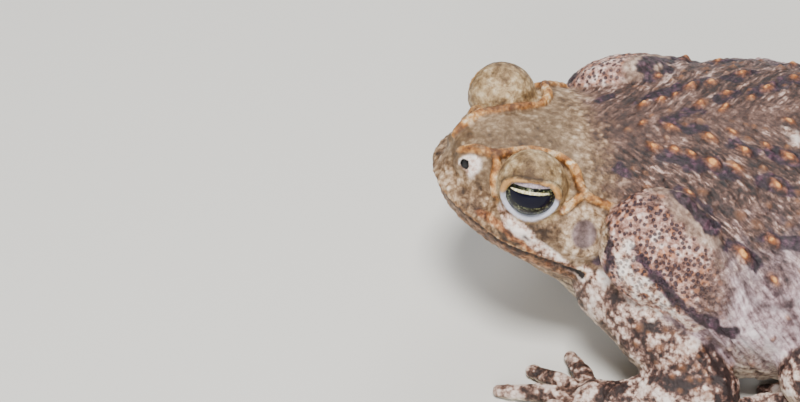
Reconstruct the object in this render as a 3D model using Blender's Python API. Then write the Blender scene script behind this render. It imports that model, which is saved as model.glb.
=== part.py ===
"""Cane toad, life size, sitting still on its belly with its hands in front and its hind legs folded.

Each sub-part starts as a few rounded masses that melt together. A voxel remesh joins them, the
points are then drawn onto the smooth surface that the masses describe, and the mesh is thinned.
Neighbours are cut clear of each other by a thin gap, as the pieces of a museum model are parted.
The toad looks along -Y, its left side is +X, and it rests on z = 0. Lengths are in millimetres
until the last step, which turns them into metres.
"""

import math
import random

import bmesh
import bpy
import numpy as np
from mathutils import Matrix, Vector

# Driving sizes, in millimetres and degrees
SNOUT_TO_VENT = 135.0
HEAD_WIDTH = 0.395 * SNOUT_TO_VENT
EYE_RADIUS = 0.052 * SNOUT_TO_VENT
LID_THICKNESS = 0.9
RIDGE_RADIUS = 1.35
RIDGE_LIFT = 0.25
LIP_GROOVE = 0.85
LIP_LIFT = 0.3
TRUNK_WIDTH = 0.68 * SNOUT_TO_VENT
TRUNK_HEIGHT = 50.0
TRUNK_MIDDLE = 9.0
EYE_HEIGHT = 46.0
EYE_STATION = -48.0
HEAD_PITCH = 10.0
HEAD_YAW = 5.0
MOUTH_SLOPE = 11.0

# How finely the parts are made
GAP = 0.3
CUT_ALLOWANCE = 1.15
CLEARANCE = 0.5
CLEARANCE_VOXEL = 1.6
CLEARANCE_TRIANGLES = 1600
SEED = 7
MILLIMETRE = 0.001
FAR = 300.0
NEARBY = 6.0


class Ball:
    """An ellipsoid. axes holds its own directions as columns."""

    def __init__(self, centre, radii, axes=None, blend=3.0, carve=False):
        self.centre = np.array(centre, float)
        self.radii = np.array(radii, float)
        self.axes = np.eye(3) if axes is None else np.array(axes, float)
        self.blend = blend
        self.carve = carve
        self.middle = self.centre
        self.reach = max(radii)

    def distance(self, points):
        local = (points - self.centre) @ self.axes
        scaled = np.linalg.norm(local / self.radii, axis=1)
        steep = np.linalg.norm(local / self.radii**2, axis=1) + 1e-9
        return scaled * (scaled - 1) / steep

    def rough(self, target):
        turn = Matrix([list(row) for row in self.axes]).to_4x4()
        size = Matrix.Diagonal((*self.radii, 1))
        matrix = Matrix.Translation(self.centre) @ turn @ size
        bmesh.ops.create_icosphere(target, subdivisions=4, radius=1, matrix=matrix)


class Rod:
    """A round length between two points, with a radius at each end."""

    def __init__(self, start, end, start_radius, end_radius, blend=2.0, carve=False):
        self.start = np.array(start, float)
        self.end = np.array(end, float)
        self.radii = (start_radius, end_radius)
        self.blend = blend
        self.carve = carve
        self.middle = (self.start + self.end) / 2
        self.reach = np.linalg.norm(self.end - self.middle) + max(self.radii)

    def distance(self, points):
        run = self.end - self.start
        along = np.clip((points - self.start) @ run / (run @ run), 0, 1)
        nearest = self.start + along[:, None] * run
        radius = self.radii[0] + (self.radii[1] - self.radii[0]) * along
        return np.linalg.norm(points - nearest, axis=1) - radius

    def rough(self, target):
        length = np.linalg.norm(self.end - self.start)
        steps = int(2.5 * length / min(self.radii)) + 2
        for t in np.linspace(0, 1, steps):
            centre = self.start + t * (self.end - self.start)
            radius = self.radii[0] + (self.radii[1] - self.radii[0]) * t
            matrix = Matrix.Translation(centre)
            bmesh.ops.create_icosphere(target, subdivisions=2, radius=radius, matrix=matrix)


def chain(points, radii, blend=2.0, carve=False):
    """Rods end to end through the points."""
    pairs = zip(points, points[1:], radii, radii[1:])
    return [Rod(a, b, start, end, blend, carve) for a, b, start, end in pairs]


def curve(points, steps=4):
    """A smooth line through the points, each span in that many steps."""
    points = np.array(points, float)
    ends = np.vstack((2 * points[0] - points[1], points, 2 * points[-1] - points[-2]))
    made = []
    for before, start, end, after in zip(ends, ends[1:], ends[2:], ends[3:]):
        for t in np.arange(steps) / steps:
            bend = (2 * before - 5 * start + 4 * end - after) * t**2
            twist = (3 * start - before - 3 * end + after) * t**3
            made.append(start + ((end - before) * t + bend + twist) / 2)
    return np.array([*made, points[-1]])


def distance_to(masses, points):
    """How far the points are outside the masses melted together, in order."""
    total = np.full(len(points), FAR)
    for mass in masses:
        offset = points - mass.middle
        near = (offset**2).sum(1) < (mass.reach + mass.blend + NEARBY) ** 2
        sign = -1 if mass.carve else 1
        before = total[near]
        one = mass.distance(points[near]) * sign
        share = np.clip(0.5 + 0.5 * sign * (before - one) / mass.blend, 0, 1)
        total[near] = before + (one - before) * share - sign * mass.blend * share * (1 - share)
    return total


def slope_at(masses, points, step=0.05):
    """How steeply the distance grows, along each axis."""
    slope = np.empty_like(points)
    for axis in range(3):
        shift = np.zeros(3)
        shift[axis] = step
        ahead = distance_to(masses, points + shift)
        slope[:, axis] = (ahead - distance_to(masses, points - shift)) / (2 * step)
    return slope


def drawn_onto(masses, points, outward=0.0, rounds=4, furthest=1.5):
    """The points moved onto the melted surface, or to that far outside it."""
    for _ in range(rounds):
        slope = slope_at(masses, points)
        steep = (slope**2).sum(1) + 1e-6
        move = ((outward - distance_to(masses, points)) / steep)[:, None] * slope
        length = np.linalg.norm(move, axis=1, keepdims=True)
        points = points + move * np.minimum(1, furthest / np.maximum(length, 1e-9))
    return points


def skin_point(masses, inside, direction, reach=90.0):
    """Where a ray from inside leaves the masses for good, and the outward direction there."""
    way = np.array(inside) + np.linspace(0, reach, 500)[:, None] * np.array(direction, float)
    held = np.nonzero(distance_to(masses, way) <= 0)[0]
    point = way[held[-1]]
    outward = slope_at(masses, point[None])[0]
    return point, outward / np.linalg.norm(outward)


def new_object(name, mesh):
    made = bpy.data.objects.new(name, mesh)
    bpy.context.scene.collection.objects.link(made)
    return made


def with_modifiers_applied(made):
    graph = bpy.context.evaluated_depsgraph_get()
    mesh = bpy.data.meshes.new_from_object(made.evaluated_get(graph))
    made.modifiers.clear()
    old = made.data
    made.data = mesh
    bpy.data.meshes.remove(old)
    return made


def coordinates(mesh):
    points = np.empty(len(mesh.vertices) * 3)
    mesh.vertices.foreach_get("co", points)
    return points.reshape(-1, 3)


def mesh_of(name, shape):
    """A mesh from the bmesh, with its faces turned outward."""
    bmesh.ops.recalc_face_normals(shape, faces=shape.faces)
    if shape.calc_volume(signed=True) < 0:
        bmesh.ops.reverse_faces(shape, faces=shape.faces)
    mesh = bpy.data.meshes.new(name)
    shape.to_mesh(mesh)
    shape.free()
    return mesh


def modelled(name, masses, voxel, triangles, outward=0.0):
    """One closed body of the masses, thinned to about that many triangles."""
    shape = bmesh.new()
    for mass in masses:
        if not mass.carve:
            mass.rough(shape)
    made = new_object(name, mesh_of(name, shape))
    for _ in range(2):
        remesh = made.modifiers.new("fuse", "REMESH")
        remesh.mode = "VOXEL"
        remesh.voxel_size = voxel
        with_modifiers_applied(made)
        points = drawn_onto(masses, coordinates(made.data), outward)
        made.data.vertices.foreach_set("co", points.ravel())
        made.data.update()
    thin = made.modifiers.new("thin", "DECIMATE")
    thin.ratio = triangles / (2 * len(made.data.polygons))
    return only_largest(with_modifiers_applied(made))


def only_largest(made):
    """The object with all but its largest closed surface removed."""
    shape = bmesh.new()
    shape.from_mesh(made.data)
    unseen = set(shape.verts)
    pieces = []
    while unseen:
        todo = [unseen.pop()]
        piece = []
        while todo:
            vert = todo.pop()
            piece.append(vert)
            for edge in vert.link_edges:
                other = edge.other_vert(vert)
                if other in unseen:
                    unseen.remove(other)
                    todo.append(other)
        pieces.append(piece)
    pieces.sort(key=len)
    for piece in pieces[:-1]:
        bmesh.ops.delete(shape, geom=piece, context="VERTS")
    shape.to_mesh(made.data)
    shape.free()
    return made


def grown(made, amount):
    """A copy of the object, larger all round by that amount."""
    mesh = made.data.copy()
    normals = np.array([vert.normal[:] for vert in mesh.vertices])
    points = coordinates(mesh) + amount * normals
    mesh.vertices.foreach_set("co", points.ravel())
    return new_object(made.name + "_grown", mesh)


def cut_by(made, cutter):
    """The object less the cutter, which is removed."""
    boolean = made.modifiers.new("cut", "BOOLEAN")
    boolean.operation = "DIFFERENCE"
    boolean.object = cutter
    with_modifiers_applied(made)
    bpy.data.objects.remove(cutter)
    return only_largest(made)


def cut_clear(made, *neighbours):
    """The object cut back so that it meets each neighbour across the gap."""
    for neighbour in neighbours:
        cut_by(made, grown(neighbour, GAP * CUT_ALLOWANCE))
    return made


def block(low, high, axes, centre):
    """A box from its low to its high corner along the axes, for cutting."""
    shape = bmesh.new()
    bmesh.ops.create_cube(shape, size=1)
    for vert in shape.verts:
        local = [high[i] if vert.co[i] > 0 else low[i] for i in range(3)]
        vert.co = Vector(np.array(centre) + np.array(axes) @ np.array(local))
    return new_object("block", mesh_of("block", shape))


def set_on_floor(made):
    """The object cut flat at the floor."""
    return cut_by(made, block((-FAR, -FAR, -FAR), (FAR, FAR, 0), np.eye(3), (0, 0, 0)))


def head_axes():
    """The head's own directions as columns: left, forward and up."""
    yaw = math.radians(HEAD_YAW)
    pitch = math.radians(HEAD_PITCH)
    left = np.array((math.cos(yaw), math.sin(yaw), 0))
    level = np.array((math.sin(yaw), -math.cos(yaw), 0))
    forward = level * math.cos(pitch) + np.array((0, 0, math.sin(pitch)))
    return np.column_stack((left, forward, np.cross(forward, left)))


HEAD_AXES = head_axes()
BETWEEN_EYES = np.array((0.0, EYE_STATION, EYE_HEIGHT))


def head_point(left, forward, up):
    """A place on the head, measured from the middle of the line between the eyes."""
    return BETWEEN_EYES + HEAD_AXES @ np.array((left, forward, up), float)


def jaw_axes():
    """The head's directions with forward laid along the mouth, which slopes down to its corners."""
    slope = math.radians(MOUTH_SLOPE)
    left, forward, up = HEAD_AXES.T
    ahead = forward * math.cos(slope) + up * math.sin(slope)
    return np.column_stack((left, ahead, np.cross(ahead, left)))


JAW_AXES = jaw_axes()
JAW_HINGE = head_point(0, -17, -16.6)
JAW_LENGTH = 37.0
MOUTH_TURN = (2.0, 178.0)
MOUTH_STEPS = 50


def jaw_point(left, forward, up):
    return JAW_HINGE + JAW_AXES @ np.array((left, forward, up), float)


# Places on the left of the head: left, forward and up from between the eyes
EYE_CENTRE = (16.6, 1.1, 1.7)
GAZE = (0.93, 0.30, 0.0)
NOSTRIL = (4.6, 13.8, -2.2)
TYMPANUM = (22.5, -10.8, -5.4)
TYMPANUM_RADII = (3.6, 4.5)
BROW_RIDGE = ((2.7, 14.8, -0.2), (4.7, 11.7, 1.8), (7.6, 8.0, 3.4), (7.9, 0.0, 5.2), (9.6, -6.2, 5.4))
TEMPLE_RIDGE = ((9.6, -6.2, 5.4), (13.6, -9.0, 4.0), (18.8, -10.4, 0.6), (22.0, -16.5, 0.2))
FORE_RIDGE = ((7.6, 8.0, 3.4), (12.2, 8.0, 0.2), (15.0, 7.6, -3.8))
UNDER_RIDGE = ((18.8, -10.4, 0.6), (21.6, -5.4, -2.2))
RIDGES = (BROW_RIDGE, TEMPLE_RIDGE, FORE_RIDGE, UNDER_RIDGE)
LID_OPENING = (6.2, 4.4, 4.0)
NECK_STATION = -21.0


def on_side(point, side):
    return (point[0] * side, point[1], point[2])


def gaze_axes(side):
    """The eye's directions as columns: along the lids, up across them, and where it looks."""
    out = HEAD_AXES @ np.array(on_side(GAZE, side))
    out = out / np.linalg.norm(out)
    along = np.cross(HEAD_AXES[:, 2], out)
    along = along / np.linalg.norm(along)
    return np.column_stack((along, np.cross(out, along), out))


def skull_masses():
    """The head without its fine features."""
    half = HEAD_WIDTH / 2
    made = [
        Ball(jaw_point(0, 0, 1.3), (half, JAW_LENGTH - 0.3, 6.8), JAW_AXES, 3),
        Ball(jaw_point(0, -1, -1.6), (half - 1.2, JAW_LENGTH - 1.9, 6.6), JAW_AXES, 0.9),
        Ball(jaw_point(0, -2, -5.5), (half - 6, 20, 8), JAW_AXES, 6),
        Ball(head_point(0, -12, -3.4), (18, 20, 8.6), HEAD_AXES, 5),
        Ball(head_point(0, -2, -1.4), (14.5, 16, 6.2), HEAD_AXES, 3),
        Ball(head_point(0, 4.6, -2.9), (8.8, 10.6, 5.6), HEAD_AXES, 4),
        Ball(head_point(0, 11.6, -6.6), (5.6, 5.6, 4.2), HEAD_AXES, 2.5),
        Ball(head_point(0, -26, -5), (24, 15, 10.5), HEAD_AXES, 8),
    ]
    for side in (1, -1):
        made.append(Ball(head_point(18 * side, -15, -8.5), (8, 11, 8.5), HEAD_AXES, 5))
        made.append(Ball(head_point(6 * side, 5.4, -5.2), (6.2, 8.4, 5.6), HEAD_AXES, 3))
        made.append(Ball(head_point(16.5 * side, -3, -8.0), (7.6, 12, 7.2), HEAD_AXES, 3))
        made.append(Ball(head_point(14 * side, -11, -2.8), (8.5, 9, 6.4), HEAD_AXES, 3))
    return made


def lid_masses(side):
    """The dome of skin over one eye."""
    lid = EYE_RADIUS + LID_THICKNESS
    return [Ball(head_point(*on_side(EYE_CENTRE, side)), (lid, lid, lid), HEAD_AXES, 1.4)]


def tapered(count, steps=4, least=0.62):
    """Shares that rise from the least at both ends of a line to 1 along its middle."""
    from_end = np.minimum(np.arange(count), count - 1 - np.arange(count))
    return least + (1 - least) * np.minimum(1, from_end / steps)


def ridge_masses(skull, side):
    """The low rounded crests of one side, laid on the skull."""
    made = []
    for ridge in RIDGES:
        points = curve([head_point(*on_side(place, side)) for place in ridge])
        points = drawn_onto(skull, points, RIDGE_LIFT)
        made += chain(points, RIDGE_RADIUS * tapered(len(points)), 1.4)
    return made


def ear_masses(skull, side):
    """The ear drum, a shallow dish in a low rim."""
    inside = head_point(*on_side(TYMPANUM, side)) - 15 * side * HEAD_AXES[:, 0]
    drum, outward = skin_point(skull, inside, side * HEAD_AXES[:, 0])
    upright = np.cross(outward, HEAD_AXES[:, 1])
    axes = np.column_stack((np.cross(upright, outward), upright, outward))
    rim = [radius + 1 for radius in TYMPANUM_RADII]
    return [
        Ball(drum, (*rim, 1.5), axes, 0.9),
        Ball(drum + 1.6 * outward, (*TYMPANUM_RADII, 1.6), axes, 0.5, True),
    ]


def nostril_masses(side):
    """A small mound with the nostril pressed into its outer side."""
    mound = head_point(*on_side(NOSTRIL, side))
    opening = mound + HEAD_AXES @ np.array((1.2 * side, 0.4, 1.0))
    return [
        Ball(mound, (2.1, 2.0, 1.7), HEAD_AXES, 1.4),
        Ball(opening, (1.0, 1.5, 1.0), HEAD_AXES, 0.6, True),
    ]


def mouth_masses(skull):
    """The groove between the lips, round the muzzle from one corner of the mouth to the other."""
    lips = []
    for turn in np.radians(np.linspace(*MOUTH_TURN, MOUTH_STEPS)):
        level = JAW_AXES @ np.array((HEAD_WIDTH / 2 * math.cos(turn), JAW_LENGTH * math.sin(turn), 0))
        start = JAW_HINGE + 0.5 * level
        point, outward = skin_point(skull, start, level / np.linalg.norm(level), 30)
        lips.append(point + LIP_LIFT * outward)
    fading = np.minimum(1, (MOUTH_STEPS - 1 - abs(np.arange(MOUTH_STEPS) * 2 - MOUTH_STEPS + 1)) / 8)
    return chain(lips, LIP_GROOVE * (0.4 + 0.6 * fading), 0.9, True)


def head_masses():
    """The skull with its lids, ridges, ear drums, nostrils and mouth."""
    plain = skull_masses()
    domed = plain + lid_masses(1) + lid_masses(-1)
    made = list(domed)
    for side in (1, -1):
        made += ridge_masses(domed, side)
        made += ear_masses(plain, side)
        made += nostril_masses(side)
    return made + mouth_masses(plain)


def trunk_masses():
    half = TRUNK_WIDTH / 2
    made = [
        Ball((0, TRUNK_MIDDLE, TRUNK_HEIGHT / 2 - 0.5), (half, 42, TRUNK_HEIGHT / 2), None, 10),
        Ball((0, -14, 27), (36, 24, 21), None, 12),
        Ball((0, 42, 17), (27, 19.5, 16.5), None, 10),
        Ball((0, -20, 17), (27, 18, 13), None, 10),
    ]
    for side in (1, -1):
        made.append(Ball((21 * side, 10, 13), (22, 31, 13.3), None, 10))
    return made


# Limb joints on the left side
SHOULDER = (24.0, -28.0, 23.0)
ELBOW = (48.0, -10.0, 10.0)
WRIST = (45.0, -28.0, 6.2)
PALM = (42.0, -34.0, 3.7)
HIP = (18.0, 46.0, 15.0)
KNEE = (49.0, 14.0, 14.5)
HEEL = (35.0, 57.0, 7.2)
SOLE = (46.0, 32.0, 4.2)

# Each digit's angle from straight ahead towards the midline, and its length
FINGERS = ((78, 15), (46, 16), (20, 20), (-8, 15))
TOES = ((34, 13), (17, 20), (4, 29), (-9, 42), (-26, 27))
FINGER_RADII = (2.5, 2.0, 1.5)
TOE_RADII = (2.6, 2.1, 1.5)
WEB_STEPS = (0.22, 0.36, 0.5, 0.62)
WEB_RADIUS = 0.8
PRESSED = 0.3


def along(start, end, share, lift=0.0):
    """A point part of the way from start to end, raised by lift."""
    made = np.array(start, float) + share * (np.array(end, float) - np.array(start, float))
    return made + np.array((0, 0, lift))


def gland_masses(side):
    """The long parotoid gland, from behind the eye down over the shoulder."""
    front = np.array((24.6 * side, -28.6, 44.8))
    back = np.array((41.8 * side, -0.5, 26.4))
    run = (back - front) / np.linalg.norm(back - front)
    out = np.array((0.62 * side, -0.3, 0.72))
    out = out - run * (out @ run)
    out = out / np.linalg.norm(out)
    axes = np.column_stack((np.cross(out, run), run, out))
    return [
        Ball(along(front, back, 0.24, -0.8), (12.2, 10.5, 5.4), axes, 4),
        Ball(along(front, back, 0.44, -0.8), (9.8, 13.0, 5.9), axes, 7),
        Ball(along(front, back, 0.70, -0.4), (6.6, 14.0, 5.2), axes, 7),
    ]


def limb_masses(side, start, end, radii, lift):
    middle = along(start, end, 0.48, lift)
    points = [np.array(on_side(point, side)) for point in (start, middle, end)]
    return chain(points, radii, 3)


def digits(side, root, sizes, radii):
    """The points of each digit: its root, its knuckle and its tip on the floor."""
    made = []
    for angle, length in sizes:
        turn = math.radians(angle)
        ahead = np.array((-side * math.sin(turn), -math.cos(turn), 0))
        start = np.array(on_side(root, side)) + 3 * ahead
        start[2] = radii[0] + 0.8
        middle = start + 0.5 * length * ahead
        middle[2] = radii[1] + 0.9
        tip = start + length * ahead
        tip[2] = radii[2] - PRESSED
        made.append((start, middle, tip))
    return made


def hand_masses(side):
    palm = np.array(on_side(PALM, side))
    made = [Ball(palm, (5.4, 6.0, 4.0), None, 2)]
    made += chain([np.array(on_side(WRIST, side)), palm + (0, 0, 0.6)], (4.2, 4.0), 2)
    for digit in digits(side, PALM, FINGERS, FINGER_RADII):
        made += chain(digit, FINGER_RADII, 1.2)
    return made


def foot_masses(side):
    sole = np.array(on_side(SOLE, side))
    made = chain([np.array(on_side(HEEL, side)), sole], (5.0, 4.4), 2)
    made.append(Ball(sole + (0, -3, -0.3), (5.6, 8, 4.2), None, 2))
    toes = digits(side, SOLE + np.array((0, -5, 0)), TOES, TOE_RADII)
    for toe in toes:
        made += chain(toe, TOE_RADII, 1.2)
    for inner, outer in zip(toes, toes[1:]):
        for share in WEB_STEPS:
            ends = [along(toe[0], toe[2], share) for toe in (inner, outer)]
            for end in ends:
                end[2] = 2.4
            made += chain(ends, (WEB_RADIUS, WEB_RADIUS), 1.2)
    return made


# Station, turn from straight up and radius of each large wart of the back
MAIN_WARTS = (
    (-19.4, -0.8, 1.3), (-13.5, 3.4, 1.7), (-5.3, 11.1, 1.9), (-18.1, 14.1, 1.7), (-13.8, 16.2, 1.6),
    (-10.2, 19.5, 1.4), (-6.1, 24.6, 2.0), (-0.9, 27.4, 1.9), (1.8, 18.9, 1.7), (11.8, 22.9, 1.9),
    (7.6, 35.6, 1.9), (-12.5, 37.1, 1.3), (7.2, 15.7, 1.3), (14.1, 1.8, 1.6), (-1.0, -5.9, 1.2),
    (0.3, 8.4, 1.4), (-2.7, 58.6, 2.1), (4.5, 54.6, 1.6), (4.1, 65.6, 1.6), (19.5, 33.0, 2.0),
    (26.5, 20.5, 2.1), (33.5, 36.0, 1.9), (39.0, 14.5, 1.7), (22.0, 52.0, 1.9), (31.0, 61.0, 1.7),
    (15.5, 69.0, 1.8), (46.5, 27.0, 1.8), (43.5, 48.0, 1.6), (20.5, 8.5, 1.5), (33.0, 5.0, 1.4),
)
MIDLINE_TURN = 6.0
BACK_CENTRE = 18.0

# Smaller warts: how many each part carries, and the least and greatest radius
FILL_WARTS = (24, 1.1, 1.7)
LEG_WARTS = (4, 1.1, 1.6)
WART_SIDES = 6
# A wart's outline from its sunk root to its tip: radius and height as shares of its radius
WART_OUTLINE = ((1.15, -0.5), (0.8, 0.2), (0.3, 0.46))


def wart(place, outward, radius):
    """One low cone with a blunt tip, its root sunk in the skin."""
    lie = Vector(outward).to_track_quat("Z", "Y").to_matrix().to_4x4()
    matrix = Matrix.Translation(Vector(place)) @ lie
    shape = bmesh.new()
    rings = []
    for wide, high in WART_OUTLINE:
        ring = []
        for i in range(WART_SIDES):
            turn = 2 * math.pi * i / WART_SIDES
            local = Vector((wide * math.cos(turn), wide * math.sin(turn), high)) * radius
            ring.append(shape.verts.new(matrix @ local))
        rings.append(ring)
    for low, high in zip(rings, rings[1:]):
        for i in range(WART_SIDES):
            j = (i + 1) % WART_SIDES
            shape.faces.new((low[i], low[j], high[j], high[i]))
    shape.faces.new(rings[0])
    shape.faces.new(rings[-1])
    return new_object("wart", mesh_of("wart", shape))


def add_warts(made, places):
    """The object with a wart fused on at each place."""
    group = bpy.data.collections.new("warts")
    for place, outward, radius in places:
        group.objects.link(wart(place, outward, radius))
    boolean = made.modifiers.new("warts", "BOOLEAN")
    boolean.operation = "UNION"
    boolean.operand_type = "COLLECTION"
    boolean.collection = group
    with_modifiers_applied(made)
    for one in list(group.objects):
        bpy.data.objects.remove(one)
    bpy.data.collections.remove(group)
    return only_largest(made)


def main_warts(keep_off):
    """Where the large warts stand, the same on both sides but for those along the middle."""
    places = []
    for station, degrees, radius in MAIN_WARTS:
        for side in (1, -1) if degrees > MIDLINE_TURN else (1,):
            turn = math.radians(degrees) * side
            ray = (math.sin(turn), 0, math.cos(turn))
            point, outward = skin_point(trunk_masses(), (0, station, BACK_CENTRE), ray)
            if distance_to(keep_off, point[None])[0] > 1.5 * radius:
                places.append((point, outward, radius))
    return places


def spread(draw, sizes, ray, masses, keep_off, taken=()):
    """Wart places along drawn rays, none near another or near the masses to keep off."""
    count, least, greatest = sizes
    places = []
    for _ in range(40 * count):
        inside, direction = ray(draw)
        radius = least + (greatest - least) * draw.random() ** 1.6
        point, outward = skin_point(masses, inside, direction)
        near = distance_to(keep_off, point[None])[0] < 2.0 * radius
        others = [*taken, *places]
        crowded = any(np.linalg.norm(point - p) < 1.4 * (radius + r) for p, _, r in others)
        if not near and not crowded:
            places.append((point, outward, radius))
        if len(places) == count:
            break
    return places


def back_ray(draw):
    """A ray from the middle of the trunk out through the back or the flank."""
    station = draw.uniform(-24, 56)
    turn = math.radians(draw.uniform(-78, 78))
    return (0, station, BACK_CENTRE), (math.sin(turn), 0, math.cos(turn))


def limb_ray(start, end, side):
    """Rays from a limb's middle line up and out through its skin."""

    def ray(draw):
        inside = along(on_side(start, side), on_side(end, side), draw.uniform(0.15, 0.9))
        turn = math.radians(draw.uniform(-30, 75))
        return inside, (side * math.sin(turn), 0, math.cos(turn))

    return ray


COLOURS = {
    "head": ((0.30, 0.24, 0.16), 0.6),
    "torso": ((0.24, 0.18, 0.13), 0.65),
    "gland": ((0.42, 0.30, 0.24), 0.6),
    "eye": ((0.02, 0.02, 0.015), 0.08),
    "limb": ((0.28, 0.21, 0.15), 0.65),
}


def painted(made, kind):
    """The object with its own material."""
    colour, roughness = COLOURS[kind]
    material = bpy.data.materials.new(made.name)
    material.use_nodes = True
    shader = material.node_tree.nodes["Principled BSDF"]
    shader.inputs["Base Color"].default_value = (*colour, 1)
    shader.inputs["Roughness"].default_value = roughness
    shader.inputs["Metallic"].default_value = 0
    made.data.materials.clear()
    made.data.materials.append(material)
    made.data.shade_smooth()
    return made


def eyeball(name, side):
    centre = Vector(head_point(*on_side(EYE_CENTRE, side)))
    shape = bmesh.new()
    place = Matrix.Translation(centre)
    bmesh.ops.create_icosphere(shape, subdivisions=3, radius=EYE_RADIUS, matrix=place)
    return new_object(name, mesh_of(name, shape))


def lid_opening(side):
    """The almond between the lids, as a cutter."""
    axes = gaze_axes(side)
    centre = head_point(*on_side(EYE_CENTRE, side)) + axes[:, 2] * EYE_RADIUS
    shape = bmesh.new()
    Ball(centre, LID_OPENING, axes).rough(shape)
    return new_object("opening", mesh_of("opening", shape))


def make_head(body):
    """The head, parted from the trunk at the neck, with its eyes set in their sockets."""
    head = modelled("head", body, 0.8, 5500)
    neck = head_point(0, NECK_STATION, 0)
    cut_by(head, block((-FAR, -FAR, -FAR), (FAR, GAP / 2, FAR), HEAD_AXES, neck))
    for side, word in ((1, "left"), (-1, "right")):
        eye = eyeball(f"eye_{word}", side)
        cut_by(head, lid_opening(side))
        cut_clear(head, eye)
        painted(eye, "eye")
    return painted(head, "head")


def make_torso(body):
    torso = modelled("torso", body, 1.3, 2800)
    neck = head_point(0, NECK_STATION, 0)
    cut_by(torso, block((-FAR, -GAP / 2, -FAR), (FAR, FAR, FAR), HEAD_AXES, neck))
    return painted(set_on_floor(torso), "torso")


def upper_arm_masses(side):
    return limb_masses(side, SHOULDER, ELBOW, (9.6, 8.6, 6.6), 1)


def forearm_masses(side):
    return limb_masses(side, ELBOW, WRIST, (6.5, 6.6, 4.2), 0.5)


def thigh_masses(side):
    return limb_masses(side, HIP, KNEE, (13.5, 12.6, 8.2), 2)


def shank_masses(side):
    return limb_masses(side, KNEE, HEEL, (8.0, 8.4, 5.2), 1)


def trunk_clearance():
    """A coarse trunk and skull, larger all round by the gap, to cut what lies on them."""
    masses = trunk_masses() + skull_masses()
    return modelled("clearance", masses, CLEARANCE_VOXEL, CLEARANCE_TRIANGLES, CLEARANCE)


def cut_off_trunk(made, clearance):
    return cut_by(made, new_object("trunk", clearance.data.copy()))


def make_gland(side, word, clearance, head):
    gland = modelled(f"parotoid_{word}", gland_masses(side), 0.9, 500)
    cut_off_trunk(gland, clearance)
    return painted(cut_clear(gland, head), "gland")


def make_arm(side, word, clearance, gland):
    """Upper arm, forearm and hand, each cut clear of what it grows from."""
    upper = modelled(f"upper_arm_{word}", upper_arm_masses(side), 0.9, 360)
    cut_clear(cut_off_trunk(upper, clearance), gland)
    fore = modelled(f"forearm_{word}", forearm_masses(side), 0.8, 280)
    cut_clear(cut_off_trunk(fore, clearance), upper)
    hand = modelled(f"hand_{word}", hand_masses(side), 0.6, 480)
    cut_clear(set_on_floor(hand), fore)
    for made in (upper, fore, hand):
        painted(made, "limb")


def make_leg(side, word, clearance, draw):
    """Thigh, shank and foot, each cut clear of what it grows from, then warts on the upper two."""
    thigh = modelled(f"thigh_{word}", thigh_masses(side), 1.1, 420)
    cut_off_trunk(thigh, clearance)
    shank = modelled(f"shank_{word}", shank_masses(side), 0.9, 340)
    cut_clear(cut_off_trunk(shank, clearance), thigh)
    foot = modelled(f"foot_{word}", foot_masses(side), 0.6, 720)
    cut_clear(cut_off_trunk(set_on_floor(foot), clearance), thigh, shank)
    keep_off = trunk_masses() + foot_masses(side)
    for made, masses, other, start, end in (
        (thigh, thigh_masses(side), shank_masses(side), HIP, KNEE),
        (shank, shank_masses(side), thigh_masses(side), KNEE, HEEL),
    ):
        ray = limb_ray(start, end, side)
        add_warts(made, spread(draw, LEG_WARTS, ray, masses, keep_off + other))
    for made in (thigh, shank, foot):
        painted(made, "limb")


def limbs_near(side):
    """The limb and gland masses that warts on the trunk keep off."""
    return [
        *gland_masses(side),
        *upper_arm_masses(side),
        *thigh_masses(side),
        *shank_masses(side),
    ]


def main():
    for old in list(bpy.data.objects):
        bpy.data.objects.remove(old)
    draw = random.Random(SEED)
    body = trunk_masses() + head_masses()
    head = make_head(body)
    torso = make_torso(body)
    clearance = trunk_clearance()
    for side, word in ((1, "left"), (-1, "right")):
        gland = make_gland(side, word, clearance, head)
        make_arm(side, word, clearance, gland)
        make_leg(side, word, clearance, draw)
    bpy.data.objects.remove(clearance)
    in_front = Ball(head_point(0, NECK_STATION + FAR, 0), (FAR, FAR, FAR))
    keep_off = [in_front, *limbs_near(1), *limbs_near(-1)]
    large = main_warts(keep_off)
    small = spread(draw, FILL_WARTS, back_ray, trunk_masses(), keep_off, large)
    add_warts(torso, large + small)
    toad = bpy.data.objects.new("cane_toad", None)
    bpy.context.scene.collection.objects.link(toad)
    for made in bpy.data.objects:
        if made.type == "MESH":
            made.data.transform(Matrix.Scale(MILLIMETRE, 4))
            made.parent = toad


main()
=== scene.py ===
# %% [markdown]
# # A cane toad in fine skin
# This notebook dresses a life-size toad. Its body already exists as plain solids, packed as a
# frame. One fine skin goes over all of them, because a real toad has no seams between its head,
# its trunk and its limbs. Lengths are worked out in millimetres, since a toad is small, and the
# finished meshes are scaled to metres at the end.

# %% The frame
import itertools
import math
import random
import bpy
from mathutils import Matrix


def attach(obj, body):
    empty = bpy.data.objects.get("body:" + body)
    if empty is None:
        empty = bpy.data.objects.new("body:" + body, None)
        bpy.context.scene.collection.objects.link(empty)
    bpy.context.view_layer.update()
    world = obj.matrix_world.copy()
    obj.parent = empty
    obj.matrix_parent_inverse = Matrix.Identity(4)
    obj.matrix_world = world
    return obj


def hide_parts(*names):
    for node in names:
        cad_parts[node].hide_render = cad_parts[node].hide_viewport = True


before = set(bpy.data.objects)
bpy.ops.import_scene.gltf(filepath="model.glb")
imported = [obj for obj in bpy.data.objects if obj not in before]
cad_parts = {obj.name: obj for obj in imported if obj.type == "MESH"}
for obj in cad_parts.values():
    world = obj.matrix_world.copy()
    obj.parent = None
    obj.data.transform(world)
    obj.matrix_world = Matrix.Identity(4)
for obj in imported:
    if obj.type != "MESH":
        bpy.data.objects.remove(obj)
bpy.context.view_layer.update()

from types import SimpleNamespace

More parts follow.
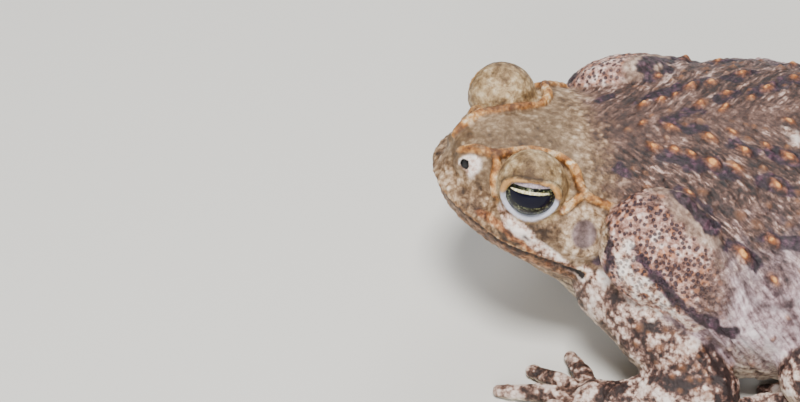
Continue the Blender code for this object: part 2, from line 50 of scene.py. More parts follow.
import bmesh
import bpy
import numpy as np
from mathutils import Matrix, Vector

BODY = "root"
MM = 0.001

# %% [markdown]
# ## Soft masses
# A toad is all soft swellings that run into each other. Polygons could be pulled about one by
# one, or a few ellipsoids and tapered rods can be described by how far a point is from them,
# and melted together with a smooth minimum. The second way is used, as the solids were made so,
# and the skin then follows the same numbers. A mass that carves presses a hollow instead.

# %% Balls and rods
FAR = 300.0
NEARBY = 6.0
RAY_STEPS = 500


def unit_sphere(level):
    """Points and three-sided faces of a ball of radius 1."""
    shape = bmesh.new()
    bmesh.ops.create_icosphere(shape, subdivisions=level, radius=1)
    shape.verts.index_update()
    points = np.array([vert.co[:] for vert in shape.verts])
    faces = np.array([[vert.index for vert in face.verts] for face in shape.faces])
    shape.free()
    return points, faces


FINE_SPHERE = unit_sphere(4)
PLAIN_SPHERE = unit_sphere(2)


class Ball:
    """An ellipsoid. axes holds its own directions as columns."""

    def __init__(self, centre, radii, axes=None, blend=3.0, carve=False):
        self.centre = np.array(centre, float)
        self.radii = np.array(radii, float)
        self.axes = np.eye(3) if axes is None else np.array(axes, float)
        self.blend = blend
        self.carve = carve
        self.middle = self.centre
        self.reach = max(radii)

    def radii_at(self, local):
        return self.radii

    def distance(self, points):
        """How far each point is outside, and the direction in which that grows."""
        local = (points - self.centre) @ self.axes
        radii = self.radii_at(local)
        scaled = np.linalg.norm(local / radii, axis=1)
        slope = local / radii**2
        steep = np.linalg.norm(slope, axis=1) + 1e-9
        return scaled * (scaled - 1) / steep, (slope / steep[:, None]) @ self.axes.T

    def rough(self):
        points, faces = FINE_SPHERE
        return [((points * self.radii) @ self.axes.T + self.centre, faces)]


class Rod:
    """A round length between two points, with a radius at each end."""

    def __init__(self, start, end, start_radius, end_radius, blend=2.0, carve=False):
        self.start = np.array(start, float)
        self.end = np.array(end, float)
        self.radii = (start_radius, end_radius)
        self.blend = blend
        self.carve = carve
        self.middle = (self.start + self.end) / 2
        self.reach = np.linalg.norm(self.end - self.middle) + max(self.radii)

    def distance(self, points):
        run = self.end - self.start
        along = np.clip((points - self.start) @ run / (run @ run), 0, 1)
        offset = points - (self.start + along[:, None] * run)
        radius = self.radii[0] + (self.radii[1] - self.radii[0]) * along
        length = np.linalg.norm(offset, axis=1) + 1e-9
        return length - radius, offset / length[:, None]

    def rough(self):
        points, faces = PLAIN_SPHERE
        length = np.linalg.norm(self.end - self.start)
        made = []
        for t in np.linspace(0, 1, int(2.5 * length / min(self.radii)) + 2):
            centre = self.start + t * (self.end - self.start)
            radius = self.radii[0] + (self.radii[1] - self.radii[0]) * t
            made.append((points * radius + centre, faces))
        return made


def chain(points, radii, blend=2.0, carve=False):
    """Rods end to end through the points."""
    pairs = zip(points, points[1:], radii, radii[1:])
    return [Rod(a, b, start, end, blend, carve) for a, b, start, end in pairs]


def curve(points, steps=4):
    """A smooth line through the points, each span in that many steps."""
    points = np.array(points, float)
    ends = np.vstack((2 * points[0] - points[1], points, 2 * points[-1] - points[-2]))
    made = []
    for before, start, end, after in zip(ends, ends[1:], ends[2:], ends[3:]):
        for t in np.arange(steps) / steps:
            bend = (2 * before - 5 * start + 4 * end - after) * t**2
            twist = (3 * start - before - 3 * end + after) * t**3
            made.append(start + ((end - before) * t + bend + twist) / 2)
    return np.array([*made, points[-1]])


print("points of a ball", len(FINE_SPHERE[0]), "and of each ball along a rod", len(PLAIN_SPHERE[0]))


# %% Melting them together
def distance_and_slope(masses, points):
    """How far the points are outside the masses melted together, in order, and how that grows."""
    order = np.argsort(points[:, 0])
    ranked = points[order]
    total = np.full(len(points), FAR)
    slope = np.zeros((len(points), 3))
    for mass in masses:
        reach = mass.reach + mass.blend + NEARBY
        ends = np.searchsorted(ranked[:, 0], (mass.middle[0] - reach, mass.middle[0] + reach))
        part = slice(*ends)
        offset = ranked[part] - mass.middle
        near = np.nonzero(np.einsum("ij,ij->i", offset, offset) < reach**2)[0] + ends[0]
        if len(near) == 0:
            continue
        sign = -1 if mass.carve else 1
        one, steep = mass.distance(ranked[near])
        before = total[near]
        share = np.clip(0.5 + 0.5 * sign * (before - one * sign) / mass.blend, 0, 1)
        rounding = sign * mass.blend * share * (1 - share)
        total[near] = before + (one * sign - before) * share - rounding
        slope[near] += (steep * sign - slope[near]) * share[:, None]
    back = np.empty_like(order)
    back[order] = np.arange(len(order))
    return total[back], slope[back]


def distance_to(masses, points):
    return distance_and_slope(masses, points)[0]


def drawn_onto(masses, points, outward=0.0, rounds=4, furthest=1.5):
    """The points moved onto the melted surface, or to that far outside it."""
    for _ in range(rounds):
        distance, slope = distance_and_slope(masses, points)
        steep = (slope**2).sum(1) + 1e-3
        move = ((outward - distance) / steep)[:, None] * slope
        length = np.linalg.norm(move, axis=1, keepdims=True)
        points = points + move * np.minimum(1, furthest / np.maximum(length, 1e-9))
    return points


def skin_point(masses, inside, direction, reach=90.0):
    """Where a ray from inside leaves the masses for good, and the outward direction there."""
    steps = np.linspace(0, reach, RAY_STEPS)[:, None]
    way = np.array(inside) + steps * np.array(direction, float)
    held = np.nonzero(distance_to(masses, way) <= 0)[0]
    point = way[held[-1]]
    outward = distance_and_slope(masses, point[None])[1][0]
    return point, outward / np.linalg.norm(outward)


twins = [Ball((x, 0, 0), (2, 2, 2)) for x in (-1.5, 1.5)]
print("two balls melt to a height of", skin_point(twins, (0, 0, 0), (0, 0, 1))[0][2].round(2), "mm")

# %% [markdown]
# ## The head
# Places on the head are given as left, forward and up from the middle between the eyes, so the
# whole head can be pitched or turned by one number. The skull is broad and flat, with a blunt
# snout. Low bony crests run from the snout over each eye, and fork behind it.

# %% Sizes and the head's own directions
SNOUT_TO_VENT = 135.0
HEAD_WIDTH = 0.395 * SNOUT_TO_VENT
EYE_RADIUS = 0.052 * SNOUT_TO_VENT
HEAD_PITCH = 10.0
HEAD_YAW = 5.0
MOUTH_SLOPE = 11.0
BETWEEN_EYES = np.array((0.0, -48.0, 46.0))


def head_axes():
    """The head's own directions as columns: left, forward and up."""
    yaw = math.radians(HEAD_YAW)
    pitch = math.radians(HEAD_PITCH)
    left = np.array((math.cos(yaw), math.sin(yaw), 0))
    level = np.array((math.sin(yaw), -math.cos(yaw), 0))
    forward = level * math.cos(pitch) + np.array((0, 0, math.sin(pitch)))
    return np.column_stack((left, forward, np.cross(forward, left)))


def jaw_axes():
    """The head's directions with forward laid along the mouth, which slopes down to its corners."""
    slope = math.radians(MOUTH_SLOPE)
    left, forward, up = HEAD_AXES.T
    ahead = forward * math.cos(slope) + up * math.sin(slope)
    return np.column_stack((left, ahead, np.cross(ahead, left)))


def head_point(left, forward, up):
    return BETWEEN_EYES + HEAD_AXES @ np.array((left, forward, up), float)


def jaw_point(left, forward, up):
    return JAW_HINGE + JAW_AXES @ np.array((left, forward, up), float)


def on_side(point, side):
    return (point[0] * side, point[1], point[2])


HEAD_AXES = head_axes()
JAW_AXES = jaw_axes()
JAW_HINGE = head_point(0, -17, -16.6)
print("head", round(HEAD_WIDTH, 1), "mm wide, its eyes", round(EYE_RADIUS * 2, 1), "mm across")


# %% The skull
JAW_LENGTH = 37.0


def skull_masses():
    """The head without its fine features."""
    half = HEAD_WIDTH / 2
    made = [
        Ball(jaw_point(0, 0, 1.3), (half, JAW_LENGTH - 0.3, 6.8), JAW_AXES, 3),
        Ball(jaw_point(0, -1, -1.6), (half - 1.2, JAW_LENGTH - 1.9, 6.6), JAW_AXES, 0.9),
        Ball(jaw_point(0, -2, -5.5), (half - 6, 20, 8), JAW_AXES, 6),
        Ball(head_point(0, -12, -3.4), (18, 20, 8.6), HEAD_AXES, 5),
        Ball(head_point(0, -2, -1.4), (14.5, 16, 6.2), HEAD_AXES, 3),
        Ball(head_point(0, 4.6, -2.9), (8.8, 10.6, 5.6), HEAD_AXES, 4),
        Ball(head_point(0, 11.6, -6.6), (5.6, 5.6, 4.2), HEAD_AXES, 2.5),
        Ball(head_point(0, -26, -5), (24, 15, 10.5), HEAD_AXES, 8),
    ]
    for side in (1, -1):
        made.append(Ball(head_point(18 * side, -15, -8.5), (8, 11, 8.5), HEAD_AXES, 5))
        made.append(Ball(head_point(6 * side, 5.4, -5.2), (6.2, 8.4, 5.6), HEAD_AXES, 3))
        made.append(Ball(head_point(16.5 * side, -3, -8.0), (7.6, 12, 7.2), HEAD_AXES, 3))
        made.append(Ball(head_point(14 * side, -11, -2.8), (8.5, 9, 6.4), HEAD_AXES, 3))
    return made


print("skull masses", len(skull_masses()))

# %% [markdown]
# ## Lids, crests, ear drums, nostrils and mouth
# A cane toad is known by its crests, low ridges of bone under the skin. Given as heights alone
# they would sink wherever the skull rises. So each crest is drawn onto the skull first, and a row
# of rods is then laid along it. The ear drum is a shallow dish in a low rim. The mouth is a
# groove, and its line is found by rays from inside the jaw, so it can't leave the lips.

# %% Lids and crests
EYE_CENTRE = (16.6, 1.1, 1.7)
LID_THICKNESS = 0.9
RIDGE_RADIUS = 0.82
RIDGE_LIFT = 0.7
# Each crest's points on the left: over the eye, behind it, in front of it and under it
RIDGES = (
    ((2.7, 14.8, -0.2), (4.7, 11.7, 1.8), (7.6, 8.0, 3.4), (7.9, 0.0, 5.2), (9.6, -6.2, 5.4)),
    ((9.6, -6.2, 5.4), (13.6, -9.0, 4.0), (18.8, -10.4, 0.6), (22.0, -16.5, 0.2)),
    ((7.6, 8.0, 3.4), (12.2, 8.0, 0.2), (15.0, 7.6, -3.8)),
    ((18.8, -10.4, 0.6), (21.6, -5.4, -2.2)),
)


def lid_masses(side):
    """The dome of skin over one eye."""
    lid = EYE_RADIUS + LID_THICKNESS
    return [Ball(head_point(*on_side(EYE_CENTRE, side)), (lid, lid, lid), HEAD_AXES, 1.4)]


def ridge_lines(skull, side):
    """The middle line of each crest of one side."""
    lines = []
    for ridge in RIDGES:
        points = curve([head_point(*on_side(place, side)) for place in ridge])
        lines.append(drawn_onto(skull, points, RIDGE_LIFT))
    return lines


def tapered(count, steps=4, least=0.62):
    """Shares that rise from the least at both ends of a line to 1 along its middle."""
    from_end = np.minimum(np.arange(count), count - 1 - np.arange(count))
    return least + (1 - least) * np.minimum(1, from_end / steps)


SKULL = skull_masses()
DOMED = SKULL + lid_masses(1) + lid_masses(-1)
RIDGE_LINES = {side: ridge_lines(DOMED, side) for side in (1, -1)}
print("points along the crests of each side", sum(len(line) for line in RIDGE_LINES[1]))


# %% Ear drums and nostrils
TYMPANUM = (22.5, -10.8, -5.4)
TYMPANUM_RADII = (3.6, 4.5)
NOSTRIL = (4.6, 13.8, -2.2)
NOSTRIL_SLANT = 38.0


def ear_place(skull, side):
    """The middle of the ear drum, and its own directions as columns, the last outward."""
    inside = head_point(*on_side(TYMPANUM, side)) - 15 * side * HEAD_AXES[:, 0]
    drum, outward = skin_point(skull, inside, side * HEAD_AXES[:, 0])
    upright = np.cross(outward, HEAD_AXES[:, 1])
    return drum, np.column_stack((np.cross(upright, outward), upright, outward))


def ear_masses(skull, side):
    """The ear drum, a shallow dish in a low rim."""
    drum, axes = ear_place(skull, side)
    rim = [radius + 1 for radius in TYMPANUM_RADII]
    return [
        Ball(drum, (*rim, 1.5), axes, 0.9),
        Ball(drum + 1.6 * axes[:, 2], (*TYMPANUM_RADII, 1.6), axes, 0.5, True),
    ]


def nostril_masses(side):
    """A small mound with the nostril, a slanting oval, pressed into its outer side."""
    mound = head_point(*on_side(NOSTRIL, side))
    opening = mound + HEAD_AXES @ np.array((1.6 * side, 0.5, 1.3))
    slant = math.radians(NOSTRIL_SLANT)
    left, forward, up = HEAD_AXES.T
    ahead = forward * math.cos(slant) + up * math.sin(slant)
    axes = np.column_stack((left, ahead, np.cross(ahead, left)))
    return [
        Ball(mound, (2.1, 2.0, 1.7), HEAD_AXES, 1.4),
        Ball(opening, (1.0, 1.3, 0.62), axes, 0.3, True),
    ]


print("the left ear drum is at", ear_place(SKULL, 1)[0].round(1))


# %% The mouth
LIP_GROOVE = 0.85
LIP_LIFT = 0.3
MOUTH_TURN = (2.0, 178.0)
MOUTH_STEPS = 50


def mouth_line(skull):
    """Points along the line between the lips, from one corner of the mouth to the other."""
    lips = []
    for turn in np.radians(np.linspace(*MOUTH_TURN, MOUTH_STEPS)):
        left, ahead = HEAD_WIDTH / 2 * math.cos(turn), JAW_LENGTH * math.sin(turn)
        level = JAW_AXES @ np.array((left, ahead, 0))
        start = JAW_HINGE + 0.5 * level
        point, outward = skin_point(skull, start, level / np.linalg.norm(level), 30)
        lips.append(point + LIP_LIFT * outward)
    return np.array(lips)


def mouth_masses(lips):
    """The groove between the lips, fading at its corners."""
    from_middle = abs(np.arange(MOUTH_STEPS) * 2 - MOUTH_STEPS + 1)
    fading = np.minimum(1, (MOUTH_STEPS - 1 - from_middle) / 8)
    return chain(lips, LIP_GROOVE * (0.4 + 0.6 * fading), 0.7, True)


LIPS = mouth_line(SKULL)


def head_masses():
    """The skull with its lids, crests, ear drums, nostrils and mouth."""
    made = list(DOMED)
    for side in (1, -1):
        for line in RIDGE_LINES[side]:
            made += chain(line, RIDGE_RADIUS * tapered(len(line)), 1.0)
        made += ear_masses(SKULL, side)
        made += nostril_masses(side)
    return made + mouth_masses(LIPS)


print("head masses", len(head_masses()))

# %% [markdown]
# ## Eyelids
# The lids are a thin shell over the eyeball with a long opening, flat along its upper edge and
# round along its lower one. It could be cut into the finished mesh, or be one more mass that
# carves. The second way keeps its edge clean: the opening is pressed in as a bowl, deep enough
# for the eyeball to sit in it, and a thin bead along the edge makes the rolled rim of each lid.

# %% The opening and the rims
GAZE = (0.93, 0.30, 0.0)
LID_TILT = -5.0
OPENING_LENGTH = 7.0
OPENING_UP = 4.35
OPENING_DOWN = 5.4
OPENING_DEPTH = 5.0
RIM_RADIUS = 0.45
RIM_MIDDLE = EYE_RADIUS + LID_THICKNESS - 0.25
RIM_STEPS = 49
ARCH = 2.7
ARCH_END = 0.995


def upper_height(along):
    """How far the upper lid's edge stands up, for shares of the half length: a flattened arch."""
    share = np.clip(abs(along), 0, ARCH_END)
    return OPENING_UP * (1 - share**ARCH) ** (1 / ARCH)


def gaze_axes(side):
    """The eye's directions as columns: ahead along the lids, up across them, and where it looks."""
    out = HEAD_AXES @ np.array(on_side(GAZE, side))
    out = out / np.linalg.norm(out)
    ahead = HEAD_AXES[:, 1] - out * (HEAD_AXES[:, 1] @ out)
    ahead = ahead / np.linalg.norm(ahead)
    up = np.cross(ahead, out) * side
    tilt = math.radians(LID_TILT)
    tipped = ahead * math.cos(tilt) + up * math.sin(tilt)
    return np.column_stack((tipped, up * math.cos(tilt) - ahead * math.sin(tilt), out))


class Opening(Ball):
    """An eye's opening: an ellipsoid below, and a flatter arch above."""

    def radii_at(self, local):
        made = np.tile(self.radii, (len(local), 1))
        share = np.clip(abs(local[:, 0]) / OPENING_LENGTH, 0, ARCH_END)
        upper = upper_height(share) / np.sqrt(1 - share**2)
        made[:, 1] = np.where(local[:, 1] > 0, upper, OPENING_DOWN)
        return made


def eye_middle(side):
    return head_point(*on_side(EYE_CENTRE, side))


def lid_edge(side, steps):
    """Points all round the edge of the opening, on the sphere of the rims' middle line."""
    axes = gaze_axes(side)
    made = []
    for turn in np.radians(np.linspace(0, 360, steps)):
        wide = OPENING_LENGTH * math.cos(turn)
        upper = math.sin(turn) > 0
        tall = float(upper_height(math.cos(turn))) if upper else OPENING_DOWN * math.sin(turn)
        shrink = 1.0
        # The bowl narrows with depth, so the edge is found by halving the error a few times
        for _ in range(12):
            out = math.sqrt(max(RIM_MIDDLE**2 - shrink**2 * (wide**2 + tall**2), 0.1))
            sunk = (out - EYE_RADIUS) / OPENING_DEPTH
            shrink = 0.5 * shrink + 0.5 * math.sqrt(max(1 - sunk**2, 0.05))
        made.append(eye_middle(side) + axes @ np.array((shrink * wide, shrink * tall, out)))
    return np.array(made)


def eyelid_masses(side):
    """The opening, and the rolled rim all round it."""
    axes = gaze_axes(side)
    centre = eye_middle(side) + axes[:, 2] * EYE_RADIUS
    radii = (OPENING_LENGTH, OPENING_DOWN, OPENING_DEPTH)
    edge = lid_edge(side, RIM_STEPS)
    return [Opening(centre, radii, axes, 0.35, True)] + chain(edge, [RIM_RADIUS] * RIM_STEPS, 0.3)


print("opening", 2 * OPENING_LENGTH, "by", OPENING_UP + OPENING_DOWN, "mm")

# %% [markdown]
# ## Trunk, glands and limbs
# The trunk is a low broad loaf that spreads on its belly. A long gland lies over each shoulder.
# The hands point inward in front, and each hind leg is folded, with the long webbed foot flat on
# the floor. A straight-legged figure could be rigged and bent, but a still toad needs only the
# places where its limbs bend: rods run between them, each thicker in the middle for its muscle.

# %% Trunk and glands
TRUNK_WIDTH = 0.68 * SNOUT_TO_VENT
TRUNK_HEIGHT = 50.0
TRUNK_MIDDLE = 9.0


def trunk_masses():
    half = TRUNK_WIDTH / 2
    made = [
        Ball((0, TRUNK_MIDDLE, TRUNK_HEIGHT / 2 - 0.5), (half, 42, TRUNK_HEIGHT / 2), None, 10),
        Ball((0, -14, 27), (36, 24, 21), None, 12),
        Ball((0, 42, 17), (27, 19.5, 16.5), None, 10),
        Ball((0, -20, 17), (27, 18, 13), None, 10),
    ]
    for side in (1, -1):
        made.append(Ball((21 * side, 10, 13), (22, 31, 13.3), None, 10))
    return made


def along(start, end, share, lift=0.0):
    """A point part of the way from start to end, raised by lift."""
    made = np.array(start, float) + share * (np.array(end, float) - np.array(start, float))
    return made + np.array((0, 0, lift))


def gland_masses(side):
    """The long parotoid gland, from behind the eye down over the shoulder."""
    front = np.array((24.6 * side, -28.6, 44.8))
    back = np.array((41.8 * side, -0.5, 26.4))
    run = (back - front) / np.linalg.norm(back - front)
    out = np.array((0.62 * side, -0.3, 0.72))
    out = out - run * (out @ run)
    out = out / np.linalg.norm(out)
    axes = np.column_stack((np.cross(out, run), run, out))
    return [
        Ball(along(front, back, 0.24, -0.8), (12.2, 10.5, 5.0), axes, 3),
        Ball(along(front, back, 0.44, -0.8), (9.8, 13.0, 5.8), axes, 7),
        Ball(along(front, back, 0.70, -0.4), (6.6, 14.0, 5.2), axes, 7),
    ]


print("trunk masses", len(trunk_masses()), "and for each gland", len(gland_masses(1)))

# %% Limbs
SHOULDER = (24.0, -28.0, 23.0)
ELBOW = (48.0, -10.0, 10.0)
WRIST = (45.0, -28.0, 6.2)
PALM = (42.0, -34.0, 3.7)
HIP = (18.0, 46.0, 15.0)
KNEE = (49.0, 14.0, 14.5)
HEEL = (35.0, 57.0, 7.2)
SOLE = (46.0, 32.0, 4.2)
FINGERS = ((78, 15), (46, 16), (20, 20), (-8, 15))
TOES = ((34, 13), (17, 20), (4, 29), (-9, 42), (-26, 27))
FINGER_RADII = (2.5, 2.0, 1.5)
TOE_RADII = (2.6, 2.1, 1.5)
WEB_STEPS = (0.22, 0.36, 0.5, 0.62)
WEB_RADIUS = 0.8
PRESSED = 0.3


def limb_masses(side, start, end, radii, lift, blend):
    middle = along(start, end, 0.48, lift)
    points = [np.array(on_side(point, side)) for point in (start, middle, end)]
    made = chain(points, radii, 3)
    made[0].blend = blend
    return made


def digits(side, root, sizes, radii):
    """The points of each digit: its root, its knuckle and its tip on the floor."""
    made = []
    for angle, length in sizes:
        turn = math.radians(angle)
        ahead = np.array((-side * math.sin(turn), -math.cos(turn), 0))
        start = np.array(on_side(root, side)) + 3 * ahead
        start[2] = radii[0] + 0.8
        middle = start + 0.5 * length * ahead
        middle[2] = radii[1] + 0.9
        tip = start + length * ahead
        tip[2] = radii[2] - PRESSED
        made.append((start, middle, tip))
    return made


def hand_masses(side):
    palm = np.array(on_side(PALM, side))
    made = [Ball(palm, (5.4, 6.0, 4.0), None, 2)]
    made += chain([np.array(on_side(WRIST, side)), palm + (0, 0, 0.6)], (4.2, 4.0), 2)
    for digit in digits(side, PALM, FINGERS, FINGER_RADII):
        made += chain(digit, FINGER_RADII, 1.0)
    return made


def foot_masses(side):
    sole = np.array(on_side(SOLE, side))
    made = chain([np.array(on_side(HEEL, side)), sole], (5.0, 4.4), 1)
    made.append(Ball(sole + (0, -3, -0.3), (5.6, 8, 4.2), None, 2))
    toes = digits(side, SOLE + np.array((0, -5, 0)), TOES, TOE_RADII)
    for toe in toes:
        made += chain(toe, TOE_RADII, 1.0)
    for inner, outer in zip(toes, toes[1:]):
        for share in WEB_STEPS:
            ends = [along(toe[0], toe[2], share) for toe in (inner, outer)]
            for end in ends:
                end[2] = 2.4
            made += chain(ends, (WEB_RADIUS, WEB_RADIUS), 1.2)
    return made


def arm_masses(side):
    upper = limb_masses(side, SHOULDER, ELBOW, (9.6, 8.6, 6.6), 1, 2.0)
    fore = limb_masses(side, ELBOW, WRIST, (6.5, 6.6, 4.2), 0.5, 1.5)
    return upper + fore + hand_masses(side)


def leg_masses(side):
    thigh = limb_masses(side, HIP, KNEE, (13.5, 12.6, 8.2), 2, 2.5)
    shank = limb_masses(side, KNEE, HEEL, (8.0, 8.4, 5.2), 1, 0.8)
    return thigh + shank + foot_masses(side)


BODY_MASSES = trunk_masses() + head_masses()
GLANDS = {side: gland_masses(side) for side in (1, -1)}
for side in (1, -1):
    BODY_MASSES += GLANDS[side] + arm_masses(side) + leg_masses(side)
for side in (1, -1):
    BODY_MASSES += eyelid_masses(side)
print("masses in all", len(BODY_MASSES))

# %% [markdown]
# ## One closed skin
# All the masses are first put down as rough balls. A voxel remesh fuses them into one closed
# surface, and each point then slides down the slope of the distance until it lies on the true
# form. A second, finer remesh and a second slide bring out the lids, the lips and the toes.

# %% Remesh and draw
COARSE_VOXEL = 0.8
FINE_VOXEL = 0.42
UNDERSIDE = 0.02


def new_object(name, mesh):
    made = bpy.data.objects.new(name, mesh)
    bpy.context.scene.collection.objects.link(made)
    return made


def coordinates(mesh):
    points = np.empty(len(mesh.vertices) * 3)
    mesh.vertices.foreach_get("co", points)
    return points.reshape(-1, 3)


def with_modifiers_applied(made):
    graph = bpy.context.evaluated_depsgraph_get()
    mesh = bpy.data.meshes.new_from_object(made.evaluated_get(graph))
    made.modifiers.clear()
    made.data = mesh
    return made


def remeshed(made, voxel):
    fuse = made.modifiers.new("fuse", "REMESH")
    fuse.mode = "VOXEL"
    fuse.voxel_size = voxel
    return with_modifiers_applied(made)


def only_largest(made):
    """The object with all but its largest closed surface removed."""
    shape = bmesh.new()
    shape.from_mesh(made.data)
    unseen = set(shape.verts)
    pieces = []
    while unseen:
        todo = [unseen.pop()]
        piece = []
        while todo:
            vert = todo.pop()
            piece.append(vert)
            for edge in vert.link_edges:
                other = edge.other_vert(vert)
                if other in unseen:
                    unseen.remove(other)
                    todo.append(other)
        pieces.append(piece)
    pieces.sort(key=len)
    for piece in pieces[:-1]:
        bmesh.ops.delete(shape, geom=piece, context="VERTS")
    shape.to_mesh(made.data)
    shape.free()
    return made


def laid_down(name, balls):
    """One mesh of all the balls, each given as its points and faces."""
    starts = np.cumsum([0] + [len(points) for points, _ in balls])
    faces = [ball_faces + start for (_, ball_faces), start in zip(balls, starts)]
    mesh = bpy.data.meshes.new(name)
    mesh.from_pydata(np.vstack([points for points, _ in balls]), [], np.vstack(faces))
    return new_object(name, mesh)


def pressed_in(made, carved):
    """The object less a rough copy of each carving mass, which opens what is too deep to slide."""
    for mass in carved:
        cutter = laid_down("cutter", mass.rough())
        if np.linalg.det(mass.axes) < 0:
            cutter.data.flip_normals()
        cut = made.modifiers.new("cut", "BOOLEAN")
        cut.operation = "DIFFERENCE"
        cut.object = cutter
        with_modifiers_applied(made)
        bpy.data.objects.remove(cutter)
    return made


def closed_skin(name, masses, carved):
    made = laid_down(name, [ball for mass in masses if not mass.carve for ball in mass.rough()])
    for voxel, rounds in ((COARSE_VOXEL, 4), (FINE_VOXEL, 3)):
        remeshed(made, voxel)
        points = drawn_onto(masses, coordinates(made.data), rounds=rounds)
        points[:, 2] = np.maximum(points[:, 2], UNDERSIDE)
        made.data.vertices.foreach_set("co", points.ravel())
        made.data.update()
        if voxel == COARSE_VOXEL:
            pressed_in(made, carved)
    return only_largest(made)


OPENINGS = [mass for mass in BODY_MASSES if isinstance(mass, Opening)]
skin = closed_skin("skin", BODY_MASSES, OPENINGS)
POINTS = coordinates(skin.data)
NORMALS = distance_and_slope(BODY_MASSES, POINTS)[1]
NORMALS /= np.linalg.norm(NORMALS, axis=1, keepdims=True) + 1e-9
print("skin points", len(POINTS), "from", POINTS.min(0).round(1), "to", POINTS.max(0).round(1))

# %% [markdown]
# ## Granules, pits and folds
# A toad's skin is cobbled. Pebbles of several sizes come from centres scattered one to a cell,
# the same each time, and each point looks for its nearest centre. Clouds are a soft noise from
# numbers at the corners of the same kind of cells. Noise textures in the material could do the
# colour alone, but the larger granules have to stand up in the mesh.

# %% Pebbles and clouds
CELL_PRIMES = (73856093, 19349663, 83492791)
SEED_PRIME = 7919
STIR_FACTORS = (0xFF51AFD7ED558CCD, 0xC4CEB9FE1A85EC53)
LARGEST_DRAW = 65535


def scattered(cells, seed):
    """Four numbers from 0 to 1 for each whole-numbered cell."""
    mixed = (cells.astype(np.int64) @ np.array(CELL_PRIMES) + seed * SEED_PRIME).astype(np.uint64)
    for factor in STIR_FACTORS:
        mixed ^= mixed >> np.uint64(33)
        mixed *= np.uint64(factor)
    mixed ^= mixed >> np.uint64(33)
    drawn = [(mixed >> np.uint64(16 * i)) & np.uint64(LARGEST_DRAW) for i in range(4)]
    return np.column_stack(drawn) / LARGEST_DRAW


def pebbles(points, size, seed):
    """How far each point is from the middle of its pebble, and that pebble's number."""
    scaled = points / size
    cell = np.floor(scaled)
    best = np.full(len(points), 9.0)
    number = np.zeros(len(points))
    for shift in itertools.product((-1, 0, 1), repeat=3):
        corner = cell + shift
        drawn = scattered(corner, seed)
        gap = np.linalg.norm(scaled - corner - drawn[:, :3], axis=1)
        number = np.where(gap < best, drawn[:, 3], number)
        best = np.minimum(best, gap)
    return best, number


def clouds(points, size, seed):
    """A soft noise from 0 to 1."""
    scaled = points / size
    cell = np.floor(scaled)
    part = scaled - cell
    part = part * part * (3 - 2 * part)
    made = np.zeros(len(points))
    for shift in itertools.product((0, 1), repeat=3):
        share = np.prod(np.where(shift, part, 1 - part), axis=1)
        made += share * scattered(cell + shift, seed)[:, 0]
    return made


def dome(distance, edge):
    """A rounded bump that falls to nothing at its edge."""
    return np.clip(1 - (distance / edge) ** 2, 0, 1) ** 1.5


# %% [markdown]
# ## Where things are on the skin
# The relief and the colours both need to know what each point of the skin belongs to. Each mask
# is a number from 0 to 1 for every point, worked out from the same places that shaped the body,
# so a marking can't drift off the form that carries it.

# %% Gaps and steps
def smooth_step(low, high, values):
    share = np.clip((values - low) / (high - low), 0, 1)
    return share * share * (3 - 2 * share)


def gap_to(places, points, normals=None):
    """Each point's distance to the nearest place, along the skin where normals are given."""
    best = np.full(len(points), FAR)
    nearest = np.zeros(len(points), int)
    for number, place in enumerate(places):
        offset = points - place
        gap = np.einsum("ij,ij->i", offset, offset)
        nearest = np.where(gap < best, number, nearest)
        best = np.minimum(best, gap)
    if normals is None:
        return np.sqrt(best)
    offset = points - places[nearest]
    offset -= normals * np.einsum("ij,ij->i", offset, normals)[:, None]
    return np.where(best < 16, np.linalg.norm(offset, axis=1), FAR)


def gap_on(held, places, normals=None):
    """The gap to the places for the held points only, and far for the rest."""
    made = np.full(len(POINTS), FAR)
    made[held] = gap_to(places, POINTS[held], None if normals is None else normals[held])
    return made


def denser(line, step=0.3):
    """The line with more points between its own."""
    made = []
    for start, end in zip(line, line[1:]):
        made.append(np.linspace(start, end, int(np.linalg.norm(end - start) / step) + 2))
    return np.vstack(made)


# %% Masks
HEAD_LOCAL = (POINTS - BETWEEN_EYES) @ HEAD_AXES
JAW_LOCAL = (POINTS - JAW_HINGE) @ JAW_AXES
FORWARD, UPWARD = HEAD_LOCAL[:, 1], HEAD_LOCAL[:, 2]
SIDE = np.where(HEAD_LOCAL[:, 0] > 0, 1, -1)
MIRROR = np.column_stack((SIDE, np.ones((len(SIDE), 2))))
LIMBS = [mass for side in (1, -1) for mass in arm_masses(side) + leg_masses(side)]
ON_LIMB = smooth_step(1.0, -0.2, distance_to(LIMBS, POINTS))
# Clouds around 0 that make the edges of masks ragged
RAGGED = clouds(POINTS, 2.4, 31) * 1.3 + clouds(POINTS, 1.1, 32) * 0.9 - 1.1
ON_HEAD = smooth_step(-25, -14, FORWARD + 6 * RAGGED) * (1 - ON_LIMB)
near_head = FORWARD > -26
ridge_points = np.vstack([denser(line) for side in (1, -1) for line in RIDGE_LINES[side]])
RIDGE_GAP = gap_on(np.nonzero(near_head & (UPWARD > -9))[0], ridge_points, NORMALS)
RIDGE = smooth_step(1.1, 0.3, RIDGE_GAP + 0.6 * RAGGED)
# The crests' tops, painted lighter there as a painted highlight
RIDGE_TOP_HIGHLIGHT = smooth_step(0.45, 0.05, RIDGE_GAP + 0.3 * RAGGED)
lip_points = np.vstack((LIPS, (LIPS[1:] + LIPS[:-1]) / 2))
LIP_GAP = gap_on(np.nonzero(near_head)[0], lip_points)
eye_gaps = [np.linalg.norm(POINTS - eye_middle(side), axis=1) for side in (1, -1)]
LID = smooth_step(EYE_RADIUS + 2.6, EYE_RADIUS + 1.4, np.minimum(*eye_gaps))
GLAND_GAP = np.minimum(*(distance_to(GLANDS[side], POINTS) for side in (1, -1)))
GLAND = smooth_step(1.3, 0.2, GLAND_GAP)
print("points on the glands", int((GLAND > 0.5).sum()), "on crests", int((RIDGE > 0.5).sum()))

